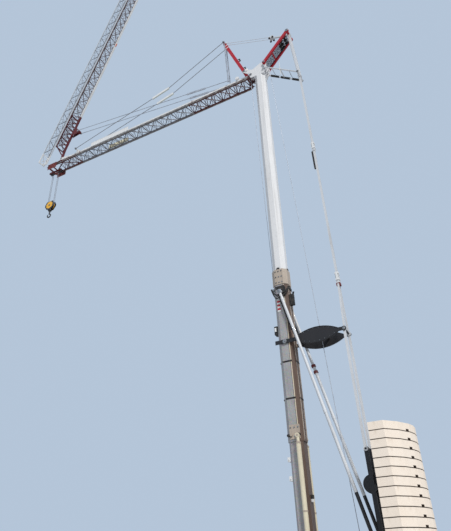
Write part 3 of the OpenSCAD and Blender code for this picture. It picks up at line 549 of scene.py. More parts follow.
# %% Give each CAD node its finish
node_finish = {
    "chassis_frame": "frame_black", "outrigger_arms": "frame_black", "outrigger_jacks": "zinc",
    "jack_feet": "zinc", "slewing_ring": "cast_metal", "turntable": "frame_black",
    "platform_frame": "frame_black", "ballast_lower": "concrete", "ballast_upper": "concrete",
    "hoist_winch": "cast_metal", "electric_cabinet": "cabinet_white", "hydraulic_unit": "pump_grey",
    "mast_foot": "frame_black", "lower_mast": "mast_grey", "mast_collar": "collar_beige",
    "mast_bracket": "collar_beige", "mast_rams": "ram_cream", "upper_mast": "mast_white",
    "mast_boxes": "tip_white", "rear_struts": "strut_white", "spreader_arms": "panel_black",
    "tie_bars_upper": "tie_zinc", "tie_bars_middle": "tie_zinc", "tie_bars_lower": "tie_zinc",
    "rear_lever": "frame_black", "mast_head": "mast_white", "rear_head_frame": "head_red",
    "tie_spacer": "tie_zinc", "front_head_strut": "head_red", "head_tackle": "strut_white",
    "mast_ropes": "pale_rope", "inner_jib_root": "jib_dark_red", "inner_jib_span": "jib_grey",
    "inner_jib_elbow": "jib_dark_red", "jib_rails": "rail_metal", "jib_stays": "stay_rope",
    "middle_jib_root": "middle_dark_red", "middle_jib_span": "middle_grey",
    "middle_jib_end": "middle_grey", "tip_jib_span": "tip_grey", "tip_jib_end": "tip_white",
    "pendant_head": "pale_rope", "pendant_tail": "pale_rope", "trolley_frame": "trolley_red",
    "trolley_wheels": "cast_metal", "hook_block": "block_yellow", "block_sheaves": "cast_metal",
    "hook": "cast_metal", "hoist_rope": "rope",
}
for node_name, finish_name in node_finish.items():
    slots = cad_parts[node_name].material_slots
    for index in range(len(slots)):
        slots[index].material = finishes[finish_name]
print(len(node_finish), "CAD nodes painted")

# %% [markdown]
# ## Making pieces
# Turned parts such as sheaves are best spun from a profile, plates drawn from an outline, and hoses
# drawn along a curve. Each helper adds one form to a bmesh, so that a piece can be several forms in
# one mesh. The object stays at the origin, unturned, with its place in the mesh, because a pattern on
# object coordinates would slide otherwise.

# %% Boxes and bars
SIDES = (-1, 1)


def block(mesh, low, high, turn=None):
    """a box from its corners, turned by a matrix if one is given"""
    middle = (Vector(low) + Vector(high)) / 2
    size = Vector(high) - Vector(low)
    matrix = Matrix.Translation(middle) @ Matrix.Diagonal((*size, 1.0))
    bmesh.ops.create_cube(mesh, size=1.0, matrix=(turn @ matrix) if turn else matrix)


def side_block(mesh, side, x_range, y_range, z_range, turn=None):
    """a box from its three ranges; on side -1 its Y range is mirrored"""
    near, far = sorted(side * y for y in y_range)
    block(mesh, (x_range[0], near, z_range[0]), (x_range[1], far, z_range[1]), turn)


def round_bar(mesh, start, end, radius, sides=12):
    """a round bar between two points, closed at both ends"""
    start, end = Vector(start), Vector(end)
    along = end - start
    turn = along.to_track_quat("Z", "Y").to_matrix().to_4x4()
    bmesh.ops.create_cone(mesh, cap_ends=True, segments=sides, radius1=radius, radius2=radius,
                          depth=along.length, matrix=Matrix.Translation((start + end) / 2) @ turn)


# %% Turned forms
# a closed profile starts this near its axis, because points on the axis would coincide
CORE = 0.0005


def turned(mesh, profile, centre, sides=32, axis="Y"):
    """spins a closed profile of (radius, along) pairs about an axis through the centre"""
    rings = []
    for k in range(sides):
        angle = 2 * math.pi * k / sides
        c, s = math.cos(angle), math.sin(angle)
        ring = []
        for radius, along in profile:
            spot = (radius * c, along, radius * s) if axis == "Y" else (radius * c, radius * s, along)
            ring.append(mesh.verts.new(Vector(centre) + Vector(spot)))
        rings.append(ring)
    count = len(profile)
    for k in range(sides):
        here, there = rings[k], rings[(k + 1) % sides]
        for j in range(count):
            mesh.faces.new((here[j], here[(j + 1) % count], there[(j + 1) % count], there[j]))


def mirrored(profile, side):
    """a profile that grows away from the middle plane, on either side of it"""
    return [(radius, side * along) for radius, along in profile]


def band(mesh, inner, outer, low, high, centre, sides=28, axis="Z"):
    """a plain ring, or a disc where the inner radius is CORE"""
    turned(mesh, [(inner, low), (outer, low), (outer, high), (inner, high)], centre, sides, axis)


def cap(mesh, side, centre, radius, rim, crown, height, start=0.0, sides=24):
    """a flat cap: a straight rim, then a cone up to a smaller crown"""
    profile = [(CORE, start), (radius, start), (radius, start + rim), (crown, start + height),
               (CORE, start + height)]
    turned(mesh, mirrored(profile, side), centre, sides)


# %% Plates, hoses and leaning forms
def plate(mesh, outline, low, high, matrix=None):
    """an outline in X and Z, as thick as low to high in Y"""
    near = [mesh.verts.new(Vector((x, low, z))) for x, z in outline]
    far = [mesh.verts.new(Vector((x, high, z))) for x, z in outline]
    mesh.faces.new(near)
    mesh.faces.new(list(reversed(far)))
    for k in range(len(outline)):
        after = (k + 1) % len(outline)
        mesh.faces.new((near[k], far[k], far[after], near[after]))
    if matrix:
        bmesh.ops.transform(mesh, matrix=matrix, verts=near + far)


def smooth_path(points, steps=10):
    """a smooth curve through the points"""
    spots = [Vector(p) for p in points]
    spots = [spots[0]] + spots + [spots[-1]]
    path = []
    for k in range(1, len(spots) - 2):
        a, b, c, d = spots[k - 1:k + 3]
        for j in range(steps):
            t = j / steps
            path.append(0.5 * ((2 * b) + (c - a) * t + (2 * a - 5 * b + 4 * c - d) * t * t
                               + (3 * b - a - 3 * c + d) * t ** 3))
    path.append(spots[-2])
    return path


def tube(mesh, path, radius, sides=8):
    """a closed round tube along a path, with as little twist as possible"""
    rings = []
    normal = None
    for k, spot in enumerate(path):
        ahead = (path[min(k + 1, len(path) - 1)] - path[max(k - 1, 0)]).normalized()
        if normal is None:
            normal = ahead.orthogonal().normalized()
        normal = (normal - ahead * normal.dot(ahead)).normalized()
        other = ahead.cross(normal)
        ring = []
        for j in range(sides):
            angle = 2 * math.pi * j / sides
            ring.append(mesh.verts.new(spot + radius * (math.cos(angle) * normal + math.sin(angle) * other)))
        rings.append(ring)
    for here, there in zip(rings, rings[1:]):
        for j in range(sides):
            mesh.faces.new((here[j], here[(j + 1) % sides], there[(j + 1) % sides], there[j]))
    mesh.faces.new(list(reversed(rings[0])))
    mesh.faces.new(rings[-1])


def lean_of(low, high):
    """the turn about Y that takes an upright form to the line from low to high"""
    return Matrix.Rotation(math.atan2(high.x - low.x, high.z - low.z), 4, "Y")


# %% From a form to a piece
def piece(name, body, slot, finish, draw, bevel=0.0, ride=True):
    """draws one piece, closes its normals outwards, paints it and lets it ride"""
    form = bmesh.new()
    draw(form)
    bmesh.ops.recalc_face_normals(form, faces=form.faces)
    data = bpy.data.meshes.new(name)
    form.to_mesh(data)
    form.free()
    data.materials.append(finishes[finish])
    made = bpy.data.objects.new(name, data)
    scene.collection.objects.link(made)
    if bevel > 0.0:
        edge = made.modifiers.new("soft_edges", "BEVEL")
        edge.width = bevel
        edge.segments = 2
        edge.limit_method = "ANGLE"
    if ride:
        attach(made, body)
    print("made", name, "with", len(data.polygons), "faces")
    return made


print("helpers for pieces ready")

# %% [markdown]
# ## Geometry Nodes for what repeats
# A lattice has hundreds of bars and a slewing ring dozens of bolts. They follow one rule each, so each
# rule is a small tree with named inputs: a zigzag along a line for the bars, and a hexagon head on
# every point of a cloud for the bolts. The result is turned into a plain mesh before it rides, because
# the export drops instances.

# %% Growing a piece from a tree
def new_tree(name, inputs):
    """a tree with a named input of each kind, and its inputs as wires"""
    tree = bpy.data.node_groups.new(name, "GeometryNodeTree")
    tree.interface.new_socket("Geometry", in_out="INPUT", socket_type="NodeSocketGeometry")
    for label, kind in inputs.items():
        tree.interface.new_socket(label, in_out="INPUT", socket_type="NodeSocket" + kind)
    tree.interface.new_socket("Geometry", in_out="OUTPUT", socket_type="NodeSocketGeometry")
    bench = Bench(tree)
    entry = tree.nodes.new("NodeGroupInput")
    entries = {label: Wire(bench, entry.outputs[label]) for label in inputs}
    entries["Geometry"] = Wire(bench, entry.outputs["Geometry"])
    return bench, entries


def close_tree(bench, geometry, material):
    real = bench.add("GeometryNodeRealizeInstances", {"Geometry": geometry})
    painted = bench.add("GeometryNodeSetMaterial", {"Geometry": real, "Material": material})
    leave = bench.tree.nodes.new("NodeGroupOutput")
    bench.tree.links.new(painted.socket, leave.inputs["Geometry"])
    print("tree", bench.tree.name, "with", len(bench.tree.nodes), "nodes")
    return bench.tree


def round_along(bench, curve, radius, sides):
    """a round bar along every line of a curve"""
    ring = bench.add("GeometryNodeCurvePrimitiveCircle", {"Resolution": sides, "Radius": radius})
    return bench.add("GeometryNodeCurveToMesh", {"Curve": curve, "Profile Curve": ring, "Fill Caps": True})


def line_between(bench, start, end):
    return bench.add("GeometryNodeCurvePrimitiveLine", {"Start": start, "End": end})


def copies(bench, points, form, turn=None):
    """the form on every point, turned if a rotation is given"""
    sockets = {"Points": points, "Instance": form}
    if turn:
        sockets["Rotation"] = turn
    return bench.add("GeometryNodeInstanceOnPoints", sockets)


def joined(bench, forms):
    node = bench.tree.nodes.new("GeometryNodeJoinGeometry")
    for form in forms:
        bench.tree.links.new(form.socket, node.inputs[0])
    return Wire(bench, node.outputs[0])


def grow(name, body, slot, finish, tree, values, points=((0.0, 0.0, 0.0),), matrix=None):
    """runs a tree on a cloud of points and keeps the result as a plain mesh that rides on a body"""
    values = {**values, "Material": finishes[finish]}
    cloud = bpy.data.meshes.new(name + "_points")
    cloud.from_pydata([tuple(p) for p in points], [], [])
    seed = bpy.data.objects.new(name + "_points", cloud)
    scene.collection.objects.link(seed)
    modifier = seed.modifiers.new("grow", "NODES")
    modifier.node_group = tree
    for item in tree.interface.items_tree:
        if item.in_out == "INPUT" and item.name in values:
            modifier[item.identifier] = values[item.name]
    graph = bpy.context.evaluated_depsgraph_get()
    mesh = bpy.data.meshes.new_from_object(seed.evaluated_get(graph))
    bpy.data.objects.remove(seed)
    mesh.name = name
    if matrix:
        mesh.transform(matrix)
    made = bpy.data.objects.new(name, mesh)
    scene.collection.objects.link(made)
    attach(made, body)
    print("grew", name, "with", len(mesh.polygons), "faces")
    return made


# %% The lattice tree
def lattice_tree():
    bench, given = new_tree("finer_bars", {
        "Start": "Float", "End": "Float", "Width": "Float", "Depth": "Float", "Bays": "Int",
        "Bar radius": "Float", "Material": "Material"})
    line = line_between(bench, bench.add("ShaderNodeCombineXYZ", {"X": given["Start"]}),
                        bench.add("ShaderNodeCombineXYZ", {"X": given["End"]}))
    stations = bench.add("GeometryNodeResampleCurve", {"Curve": line, "Count": 2.0 * given["Bays"] + 1.0})
    odd = bench.maths("MODULO", bench.add("GeometryNodeInputIndex"), 2.0)
    half = given["Width"] * 0.5
    down = given["Depth"] * -1.0
    shifts = []
    for side in SIDES:
        shifts.append(bench.add("ShaderNodeCombineXYZ", {"Y": odd * half * side, "Z": odd * down}))
    shifts.append(bench.add("ShaderNodeCombineXYZ", {"Y": (2.0 * odd - 1.0) * half, "Z": down}))
    bars = []
    for shift in shifts:
        zigzag = bench.add("GeometryNodeSetPosition", {"Geometry": stations, "Offset": shift})
        bars.append(round_along(bench, zigzag, given["Bar radius"], 6))
    left, right = [bench.add("ShaderNodeCombineXYZ", {"Y": half * side, "Z": down}) for side in SIDES]
    apex = bench.add("ShaderNodeCombineXYZ", {"X": 0.0})
    places = bench.add("GeometryNodeCurveToPoints", {"Curve": line, "Count": given["Bays"] + 1.0},
                       mode="COUNT")
    for one, other in ((left, right), (left, apex), (apex, right)):
        edge = round_along(bench, line_between(bench, one, other), given["Bar radius"], 6)
        bars.append(copies(bench, places, edge))
    return close_tree(bench, joined(bench, bars), given["Material"])


finer_bars = lattice_tree()

# %% [markdown]
# ### The jib's finer bars
# The CAD lattice has one set of main diagonals. The real jib has a second, thinner set that crosses
# them, so its zigzag starts on the top chord and has twice as many bays, with a thin triangle of bars
# between them. The sections share the tree and differ only in their measures and number of bays. Each
# section has a matrix from its own frame, where the top chord runs along X at the height 0.

# %% Bars of the three sections
INNER = Matrix.Translation((MAST_X, 0.0, CHORD_TOP))
LEANING = Matrix.Translation(PIVOT) @ Matrix.Rotation(-FOLD, 4, "Y")
MIDDLE_CHORD = -0.08
TIP_BESIDE = 0.625
MIDDLE = LEANING @ Matrix.Translation((0.0, 0.0, MIDDLE_CHORD))
TIP_SECTION = LEANING @ Matrix.Translation((0.0, TIP_BESIDE, TIP_CHORDS[0]))

JIB_WIDTH = 0.56
JIB_DEPTH = 0.5
ROOT_START = 0.52
ROOT_END = 3.7
SPAN_END = 10.7
ELBOW_END = 11.9
MIDDLE_ROOT_END = 2.9
MIDDLE_SPAN_END = 12.4

# the body, slot and finish of the sections
DARK_RED_LEVEL = ("superstructure", "dark_red_paint", "jib_dark_red")
GREY_LEVEL = ("superstructure", "grey_paint", "jib_grey")
GREY_MIDDLE = ("middle_jib", "grey_paint", "middle_grey")


def section(name, kind, matrix, start, end, bays, radius, width=JIB_WIDTH, depth=JIB_DEPTH):
    values = {"Start": start, "End": end, "Width": width, "Depth": depth, "Bays": bays, "Bar radius": radius}
    grow(name, *kind, finer_bars, values, matrix=matrix)


section("root_bars", DARK_RED_LEVEL, INNER, ROOT_START, ROOT_END, 8, 0.017)
section("span_bars", GREY_LEVEL, INNER, ROOT_END, SPAN_END, 16, 0.012)
section("elbow_bars", DARK_RED_LEVEL, INNER, SPAN_END, ELBOW_END, 4, 0.013)
section("middle_root_bars", ("middle_jib", "dark_red_paint", "middle_dark_red"), MIDDLE, 0.9, MIDDLE_ROOT_END,
        8, 0.018)
section("middle_span_bars", GREY_MIDDLE, MIDDLE, MIDDLE_ROOT_END, MIDDLE_SPAN_END, 22, 0.011)
section("tip_span_bars", ("tip_jib", "grey_paint", "tip_grey"), TIP_SECTION, -0.2, 13.08, 28, 0.006,
        0.35, 0.4)

# %% [markdown]
# ### Bolts
# A bolt head is a hexagon on a washer. The tree puts one on every point it is given and turns it by one
# set of angles, so a ring of bolts is a list of points and a direction.

# %% The bolt tree
def bolt_tree():
    bench, given = new_tree("bolt_heads", {"Head": "Float", "Height": "Float", "Turn": "Vector",
                                           "Material": "Material"})
    head = bench.add("GeometryNodeMeshCylinder", {"Vertices": 6, "Radius": given["Head"] * 0.5,
                                                  "Depth": given["Height"]})
    raised = bench.add("ShaderNodeCombineXYZ", {"Z": given["Height"] * 0.6})
    head = bench.add("GeometryNodeTransform", {"Geometry": head, "Translation": raised})
    washer = bench.add("GeometryNodeMeshCylinder", {"Vertices": 14, "Radius": given["Head"] * 0.72,
                                                    "Depth": given["Height"] * 0.25})
    turn = bench.add("FunctionNodeEulerToRotation", {0: given["Turn"]})
    placed = copies(bench, given["Geometry"], joined(bench, (head, washer)), turn)
    return close_tree(bench, placed, given["Material"])


bolt_heads = bolt_tree()
QUARTER = math.pi / 2
FACING = {"+Z": (0.0, 0.0, 0.0), "-Z": (math.pi, 0.0, 0.0), "+Y": (-QUARTER, 0.0, 0.0),
          "-Y": (QUARTER, 0.0, 0.0)}


def bolts(name, body, points, facing, head=0.03, height=0.018):
    grow(name, body, "bare_steel", "bolt_metal", bolt_heads,
         {"Head": head, "Height": height, "Turn": FACING[facing]}, points)


def paired_bolts(name, body, points, head=0.03, height=0.018):
    """the same bolts on the left face and, mirrored, on the right one"""
    bolts(name + "_left", body, points, "+Y", head, height)
    bolts(name + "_right", body, [(x, -y, z) for x, y, z in points], "-Y", head, height)


def circle(radius, count, z, centre=(0.0, 0.0), start=0.0):
    angles = [start + 2 * math.pi * k / count for k in range(count)]
    return [(centre[0] + radius * math.cos(a), centre[1] + radius * math.sin(a), z) for a in angles]


# %% Bolts of the base and the mast
bolts("ring_bolts", "superstructure", circle(0.585, 36, 1.0305), "+Z", 0.036, 0.022)
bolts("chassis_bolts", "chassis", circle(0.6, 36, 0.9005), "-Z", 0.036, 0.022)
foot_rows = [(MAST_X + dx, 0.2635, 1.46 + dz) for dx in (-0.2, -0.07, 0.07, 0.2) for dz in (0.03, 0.11)]
paired_bolts("foot_bolts", "superstructure", foot_rows)
collar_rows = [(MAST_X + dx, 0.2805, z) for z in (10.53, 10.75, 10.97) for dx in (-0.11, 0.0, 0.11)]
paired_bolts("collar_bolts", "superstructure", collar_rows, 0.036, 0.02)
bracket_rows = [(MAST_X + dx, 0.2845, z) for z in (5.27, 5.53) for dx in (-0.14, -0.02, 0.1)]
paired_bolts("bracket_bolts", "superstructure", bracket_rows, 0.034, 0.018)

# %% [markdown]
# ### Pin heads
# The joints of the head, the struts, the spreader and the mast's foot turn on pins. The pins are in the
# CAD model. The domed washer and the nut at each end are too small for it, so the washers are spun here
# and the nuts come from the bolt tree. Each pin has a name, because other pieces start from some of them.

# %% Keepers on the pins
TIP = Vector((2.82, 0.0, 24.96))
REAR_TIP = Vector((MAST_X - 1.6, 0.0, 23.48))
FRAME_PIN = Vector((MAST_X - 0.32, 0.0, 22.05))
SPACER_ROOT = Vector((MAST_X - 0.28, 0.0, 21.76))
SPACER_END = Vector((MAST_X - 1.8, 0.0, 20.5))
STRUT_ROOT = Vector((MAST_X + 0.72, 0.0, 22.13))
JIB_ROOT = Vector((MAST_X + 0.4, 0.0, 21.7))
STAY_END = Vector((MAST_X + 10.9, 0.0, 22.06))
SPREADER_REAR = Vector((MAST_X - 1.99, 0.0, 8.3))
SPREADER_PIN = Vector((MAST_X, 0.0, 8.3))
REAR_STRUT_PIN = Vector((MAST_X - 0.02, 0.0, 10.1))
FOOT_PIN = Vector((MAST_X, 0.0, 1.78))

# each pin with its half length and its radius
PINS = [
    (TIP, 0.235, 0.034), (REAR_TIP, 0.32, 0.062), (FRAME_PIN, 0.32, 0.048), (SPACER_ROOT, 0.30, 0.038),
    (SPACER_END, 0.30, 0.052), (STRUT_ROOT, 0.235, 0.038), (JIB_ROOT, 0.235, 0.048),
    (STAY_END, 0.235, 0.032), (SPREADER_REAR, 0.305, 0.04), (SPREADER_PIN, 0.305, 0.058),
    (REAR_STRUT_PIN, 0.44, 0.06), (FOOT_PIN, 0.275, 0.056),
]
DOME_HEIGHT = 0.019


def keepers(form):
    for pin, reach, radius in PINS:
        rim, crown = radius * 1.25, radius * 0.7
        dome = [(CORE, 0.0), (rim, 0.0), (rim, 0.006), (crown, 0.016), (CORE, DOME_HEIGHT)]
        for side in SIDES:
            turned(form, mirrored(dome, side), (pin.x, side * reach, pin.z), 20)


piece("pin_keepers", "superstructure", "bare_steel", "bolt_metal", keepers)
keeper_spots = [(pin.x, reach + DOME_HEIGHT, pin.z) for pin, reach, _ in PINS]
paired_bolts("keeper_bolts", "superstructure", keeper_spots, 0.03, 0.016)


# %% [markdown]
# ## The mast
# The climbing section slides in the collar on pads. The photograph shows two blank plates near the
# collar, and two boxes low on the front. Rails run up the rear. LOWER_FACE lies half a millimetre
# outside the lower mast's flat faces, because two faces in one plane would flicker.

# %% Pads, plates and rails of the mast
LOWER_FACE = 0.2605
PAD_REACH = 0.262
PAD_WIDE = 0.05
PAD_THIN = 0.02
PAD_LOW = 11.051
PAD_HIGH = 11.12


def collar_pads(form):
    for dx, dy in ((1, 0), (-1, 0), (0, 1), (0, -1)):
        x, y = MAST_X + dx * PAD_REACH, dy * PAD_REACH
        half_x, half_y = (PAD_THIN, PAD_WIDE) if dx else (PAD_WIDE, PAD_THIN)
        block(form, (x - half_x, y - half_y, PAD_LOW), (x + half_x, y + half_y, PAD_HIGH))
        round_bar(form, (x, y, PAD_HIGH), (x, y, PAD_HIGH + 0.015), 0.012, 8)


piece("collar_pads", "superstructure", "black_paint", "rubber", collar_pads, 0.004)

RAIL_LOW = 5.2
RAIL_PITCH = 0.31


def mast_rails(form):
    """on the rear face, a row of short plates on each side, with a long strip beside it"""
    for side in SIDES:
        for k in range(17):
            low = RAIL_LOW + k * RAIL_PITCH
            side_block(form, side, (MAST_X - 0.263, MAST_X - LOWER_FACE), (0.067, 0.103), (low, low + 0.28))
        side_block(form, side, (MAST_X - 0.27, MAST_X - 0.26), (0.119, 0.131), (5.16, 10.42))


piece("mast_rails", "superstructure", "beige_paint", "collar_beige", mast_rails)

PLATE_FACE = LOWER_FACE + 0.005


def blank_plates(form):
    block(form, (MAST_X + 0.04, LOWER_FACE, 9.42), (MAST_X + 0.15, PLATE_FACE, 9.98))
    block(form, (MAST_X - 0.13, LOWER_FACE, 9.5), (MAST_X - 0.03, PLATE_FACE, 9.9))
    for dx, z in ((0.05, 9.44), (0.14, 9.44), (0.05, 9.96), (0.14, 9.96), (-0.12, 9.52), (-0.04, 9.88)):
        round_bar(form, (MAST_X + dx, PLATE_FACE, z), (MAST_X + dx, PLATE_FACE + 0.002, z), 0.005, 8)


piece("blank_plates", "superstructure", "white_paint", "tip_white", blank_plates, 0.001)


def mast_brackets(form):
    """covers, side boxes and plugs of the two boxes on the mast's front"""
    for z in (4.13, 4.66):
        block(form, (MAST_X + 0.316, -0.05, z - 0.05), (MAST_X + 0.322, 0.05, z + 0.05))
        block(form, (MAST_X + 0.2255, 0.0605, z - 0.065), (MAST_X + 0.33, 0.15, z + 0.065))
        round_bar(form, (MAST_X + 0.28, 0.15, z), (MAST_X + 0.28, 0.18, z - 0.02), 0.014, 10)


piece("mast_brackets", "superstructure", "white_paint", "tip_white", mast_brackets, 0.002)


# %% [markdown]
# ### Black gear on the mast
# Below the collar hang the hoses of the climbing gear in loose bows, held by a clamp band. A bow is a
# smooth curve through five points with a tube drawn along it. Two thin bands sit lower down, and there
# is a box on the front and one on the rear. A holder sits low on the rear, and two plugs stand on the
# left bracket.

# %% Hoses, clamps and boxes
HOSE_END_Z = 10.3


def clamp_band(form, z, height, thick):
    """four flat bars round the lower mast, with open corners"""
    reach = LOWER_FACE - 0.1
    for side in SIDES:
        low, high = sorted((side * LOWER_FACE, side * (LOWER_FACE + thick)))
        block(form, (MAST_X - reach, low, z), (MAST_X + reach, high, z + height))
        block(form, (MAST_X + low, -reach, z), (MAST_X + high, reach, z + height))


def hose_bows(form, side):
    for k, drop in enumerate((0.34, 0.5)):
        spread = 0.3 + 0.03 * k
        bow = [(MAST_X + spread, side * 0.24, HOSE_END_Z + 0.03),
               (MAST_X + 0.2, side * 0.34, HOSE_END_Z - 0.6 * drop),
               (MAST_X + 0.06, side * (0.4 + 0.05 * k), HOSE_END_Z + 0.03 - drop),
               (MAST_X - 0.2, side * 0.32, HOSE_END_Z - 0.02 - 0.5 * drop),
               (MAST_X - spread, side * 0.22, HOSE_END_Z)]
        tube(form, smooth_path(bow), 0.022)


def hanging_hose(form, side):
    """a thick hose that leans to the rear and ends in a thinner one"""
    bend = (MAST_X - 0.3, side * 0.3, 8.66)
    round_bar(form, (MAST_X + 0.04, side * 0.3, 10.02), bend, 0.04, 14)
    round_bar(form, bend, (MAST_X - 0.38, side * 0.3, 8.4), 0.022, 10)


def mast_gear(form):
    clamp_band(form, 10.28, 0.1, 0.022)
    for z in (6.4, 7.6):
        clamp_band(form, z, 0.05, 0.008)
    for side in SIDES:
        side_block(form, side, (MAST_X - 0.2, MAST_X - 0.06), (0.27, 0.33), (9.96, 10.3))
        hose_bows(form, side)
        hanging_hose(form, side)
    block(form, (MAST_X - 0.42, 0.04, 9.62), (MAST_X - 0.262, 0.16, 10.02))
    block(form, (MAST_X + LOWER_FACE, -0.04, 8.66), (MAST_X + 0.38, 0.16, 8.96))
    block(form, (MAST_X - 0.3, -0.04, 3.56), (MAST_X - 0.2265, 0.04, 3.66))
    for dx in (-0.17, 0.17):
        round_bar(form, (MAST_X + dx, 0.285, 5.3), (MAST_X + dx, 0.34, 5.3), 0.045, 16)


piece("mast_gear", "superstructure", "black_paint", "rubber", mast_gear)


def mast_cable(form):
    """a cable in saddles down the front of the lower mast"""
    front = MAST_X + LOWER_FACE + 0.014
    round_bar(form, (front, -0.1, 5.75), (front, -0.1, 8.6), 0.011, 8)
    for k in range(8):
        z = 5.9 + 0.36 * k
        block(form, (MAST_X + LOWER_FACE, -0.125, z), (front + 0.014, -0.075, z + 0.03))


def mast_covers(form):
    """white covers beside the front box and under the rear holder"""
    block(form, (MAST_X + 0.3, 0.1605, 8.76), (MAST_X + 0.36, 0.19, 8.9))
    block(form, (MAST_X - 0.29, -0.03, 3.47), (MAST_X - 0.2265, 0.03, 3.555))


def warning_plate(form):
    """three plain red fields on the larger blank plate"""
    for z in (9.48, 9.62, 9.76):
        block(form, (MAST_X + 0.042, 0.266, z), (MAST_X + 0.148, 0.2675, z + 0.07))


piece("mast_cable", "superstructure", "black_paint", "rubber", mast_cable)
piece("mast_covers", "superstructure", "white_paint", "tip_white", mast_covers, 0.004)
piece("warning_plate", "superstructure", "red_paint", "head_red", warning_plate)


# %% [markdown]
# ## The head
# Between the two red struts run the ropes of the erecting tackle. The rear frame carries guide sheaves
# and a broad band of ropes, the front strut two rope guards, and a white roller sits on the jib's root.

# %% Sheaves and ropes of the head
def groove(outer, bore, width, depth):
    """profile of a rope sheave: hub, web and a round groove"""
    rim = outer - depth
    hub = bore * 1.9
    h = width / 2
    half = [(bore, h), (hub, h), (hub, h * 0.45), (rim * 0.86, h * 0.45), (rim * 0.9, h), (outer, h),
            (outer, h * 0.72), (rim + depth * 0.25, h * 0.4)]
    return mirrored(half, -1) + [(rim, 0.0)] + half[::-1]


def head_sheaves(form):
    for share, offset in ((0.62, 0.06), (0.72, -0.05), (0.82, 0.07)):
        spot = FRAME_PIN.lerp(REAR_TIP, share)
        for y in (-0.17, 0.0, 0.17):
            centre = (spot.x - offset * 0.4, y, spot.z + offset * 0.4)
            turned(form, groove(0.085, 0.02, 0.04, 0.018), centre, 20)
        round_bar(form, (spot.x, -0.2305, spot.z), (spot.x, 0.2305, spot.z), 0.018, 12)


ROPE_COUNT = 19
ROPE_PITCH = 0.023


def reeving(form):
    """ropes side by side; every second one lies a little higher"""
    low, high = Vector((MAST_X - 0.36, 0.0, 22.12)), Vector((MAST_X - 1.5, 0.0, 23.4))
    for k in range(ROPE_COUNT):
        lift = 0.018 * (k % 2)
        shift = Vector((lift, -0.207 + ROPE_PITCH * k, lift))
        round_bar(form, low + shift, high + shift, 0.0125, 8)


TACKLE = Vector((MAST_X - 0.75, 0.0, 23.84))


def tackle_wheels(form):
    wheel = [(CORE, 0.09), (0.05, 0.09), (0.05, 0.1), (0.036, 0.107), (0.05, 0.114), (0.05, 0.124),
             (CORE, 0.124)]
    for dx in (-0.07, 0.09):
        for side in SIDES:
            turned(form, mirrored(wheel, side), TACKLE + Vector((dx, 0.0, -0.07)), 24)


piece("frame_sheaves", "superstructure", "cast_grey", "cast_metal", head_sheaves)
# the band of ropes is near-black: partly the ropes' own colour, partly painted shade between the red arms
piece("head_reeving", "superstructure", "black_paint", "rubber", reeving)
piece("tackle_wheels", "superstructure", "black_paint", "rubber", tackle_wheels)


# %% Guards and clamps of the front strut, and the root's roller
STRUT_LEAN = math.radians(19.4)


def strut_guards(form):
    roller = [(CORE, -0.05), (0.045, -0.05), (0.03, -0.035), (0.03, 0.035), (0.045, 0.05), (CORE, 0.05)]
    for share, reach in ((0.15, 0.15), (0.42, 0.16)):
        spot = STRUT_ROOT.lerp(TIP, share)
        for side in SIDES:
            side_block(form, side, (spot.x - reach - 0.02, spot.x - 0.06), (0.049, 0.061),
                       (spot.z - 0.01, spot.z + 0.05))
        turned(form, roller, (spot.x - reach, 0.0, spot.z + 0.02), 18)


def strut_clamps(form):
    lean = Matrix.Rotation(STRUT_LEAN, 4, "Y")
    for share in (0.86, 0.93):
        at = Matrix.Translation(STRUT_ROOT.lerp(TIP, share)) @ lean
        block(form, (-0.082, -0.086, -0.02), (0.0795, 0.086, 0.02), at)
    for side in SIDES:
        side_block(form, side, (TIP.x - 0.16, TIP.x - 0.07), (0.0865, 0.0945), (TIP.z - 0.04, TIP.z + 0.03))


def root_rollers(form):
    """a waisted roller on a saddle over the jib's root, and a cap on each of the head's side plates"""
    x, z = MAST_X + 1.17, 22.06
    half = [(CORE, 0.085), (0.09, 0.085), (0.1, 0.07), (0.085, 0.045)]
    turned(form, mirrored(half, -1) + half[::-1], (x, 0.0, z), 28)
    for side in SIDES:
        side_block(form, side, (x - 0.03, x + 0.03), (0.087, 0.097), (21.935, z + 0.02))
        cap(form, side, (MAST_X + 0.6, side * 0.2155, 22.12), 0.09, 0.02, 0.05, 0.036)
    block(form, (x - 0.05, -0.097, 21.9395), (x + 0.05, 0.097, 21.95))


piece("strut_guards", "superstructure", "cast_grey", "cast_metal", strut_guards)
piece("strut_clamps", "superstructure", "white_paint", "tip_white", strut_clamps, 0.004)
piece("root_rollers", "superstructure", "white_paint", "tip_white", root_rollers)


# %% Rungs, sleeves and the rod at the spacer
def rung_tree():
    bench, given = new_tree("rungs", {"Half width": "Float", "Bar radius": "Float", "Material": "Material"})
    near = bench.add("ShaderNodeCombineXYZ", {"Y": given["Half width"] * -1.0})
    far = bench.add("ShaderNodeCombineXYZ", {"Y": given["Half width"]})
    bar = round_along(bench, line_between(bench, near, far), given["Bar radius"], 10)
    return close_tree(bench, copies(bench, given["Geometry"], bar), given["Material"])


rungs = rung_tree()
LEVER_FOOT = Vector((-0.98, 0, 1.5))
LEVER_HEAD = Vector((-0.94, 0, 4.66))


def spacer_sleeves(form):
    far_rod = Vector((0, -0.265, 0))
    for low, high in ((0.1, 0.34), (0.4, 0.66), (0.74, 0.92)):
        start = SPACER_ROOT.lerp(SPACER_END, low) + far_rod
        round_bar(form, start, SPACER_ROOT.lerp(SPACER_END, high) + far_rod, 0.05, 18)


def gauge_rod(form):
    """a thin upright rod clamped to the near spacer rod"""
    foot = SPACER_ROOT.lerp(SPACER_END, 0.5) + Vector((0.0, 0.245, 0.0))
    round_bar(form, foot - Vector((0, -0.045, 0.4)), foot + Vector((0, 0.045, 0.42)), 0.012, 10)
    block(form, foot - Vector((0.035, 0.0, 0.035)), foot + Vector((0.035, 0.06, 0.035)))


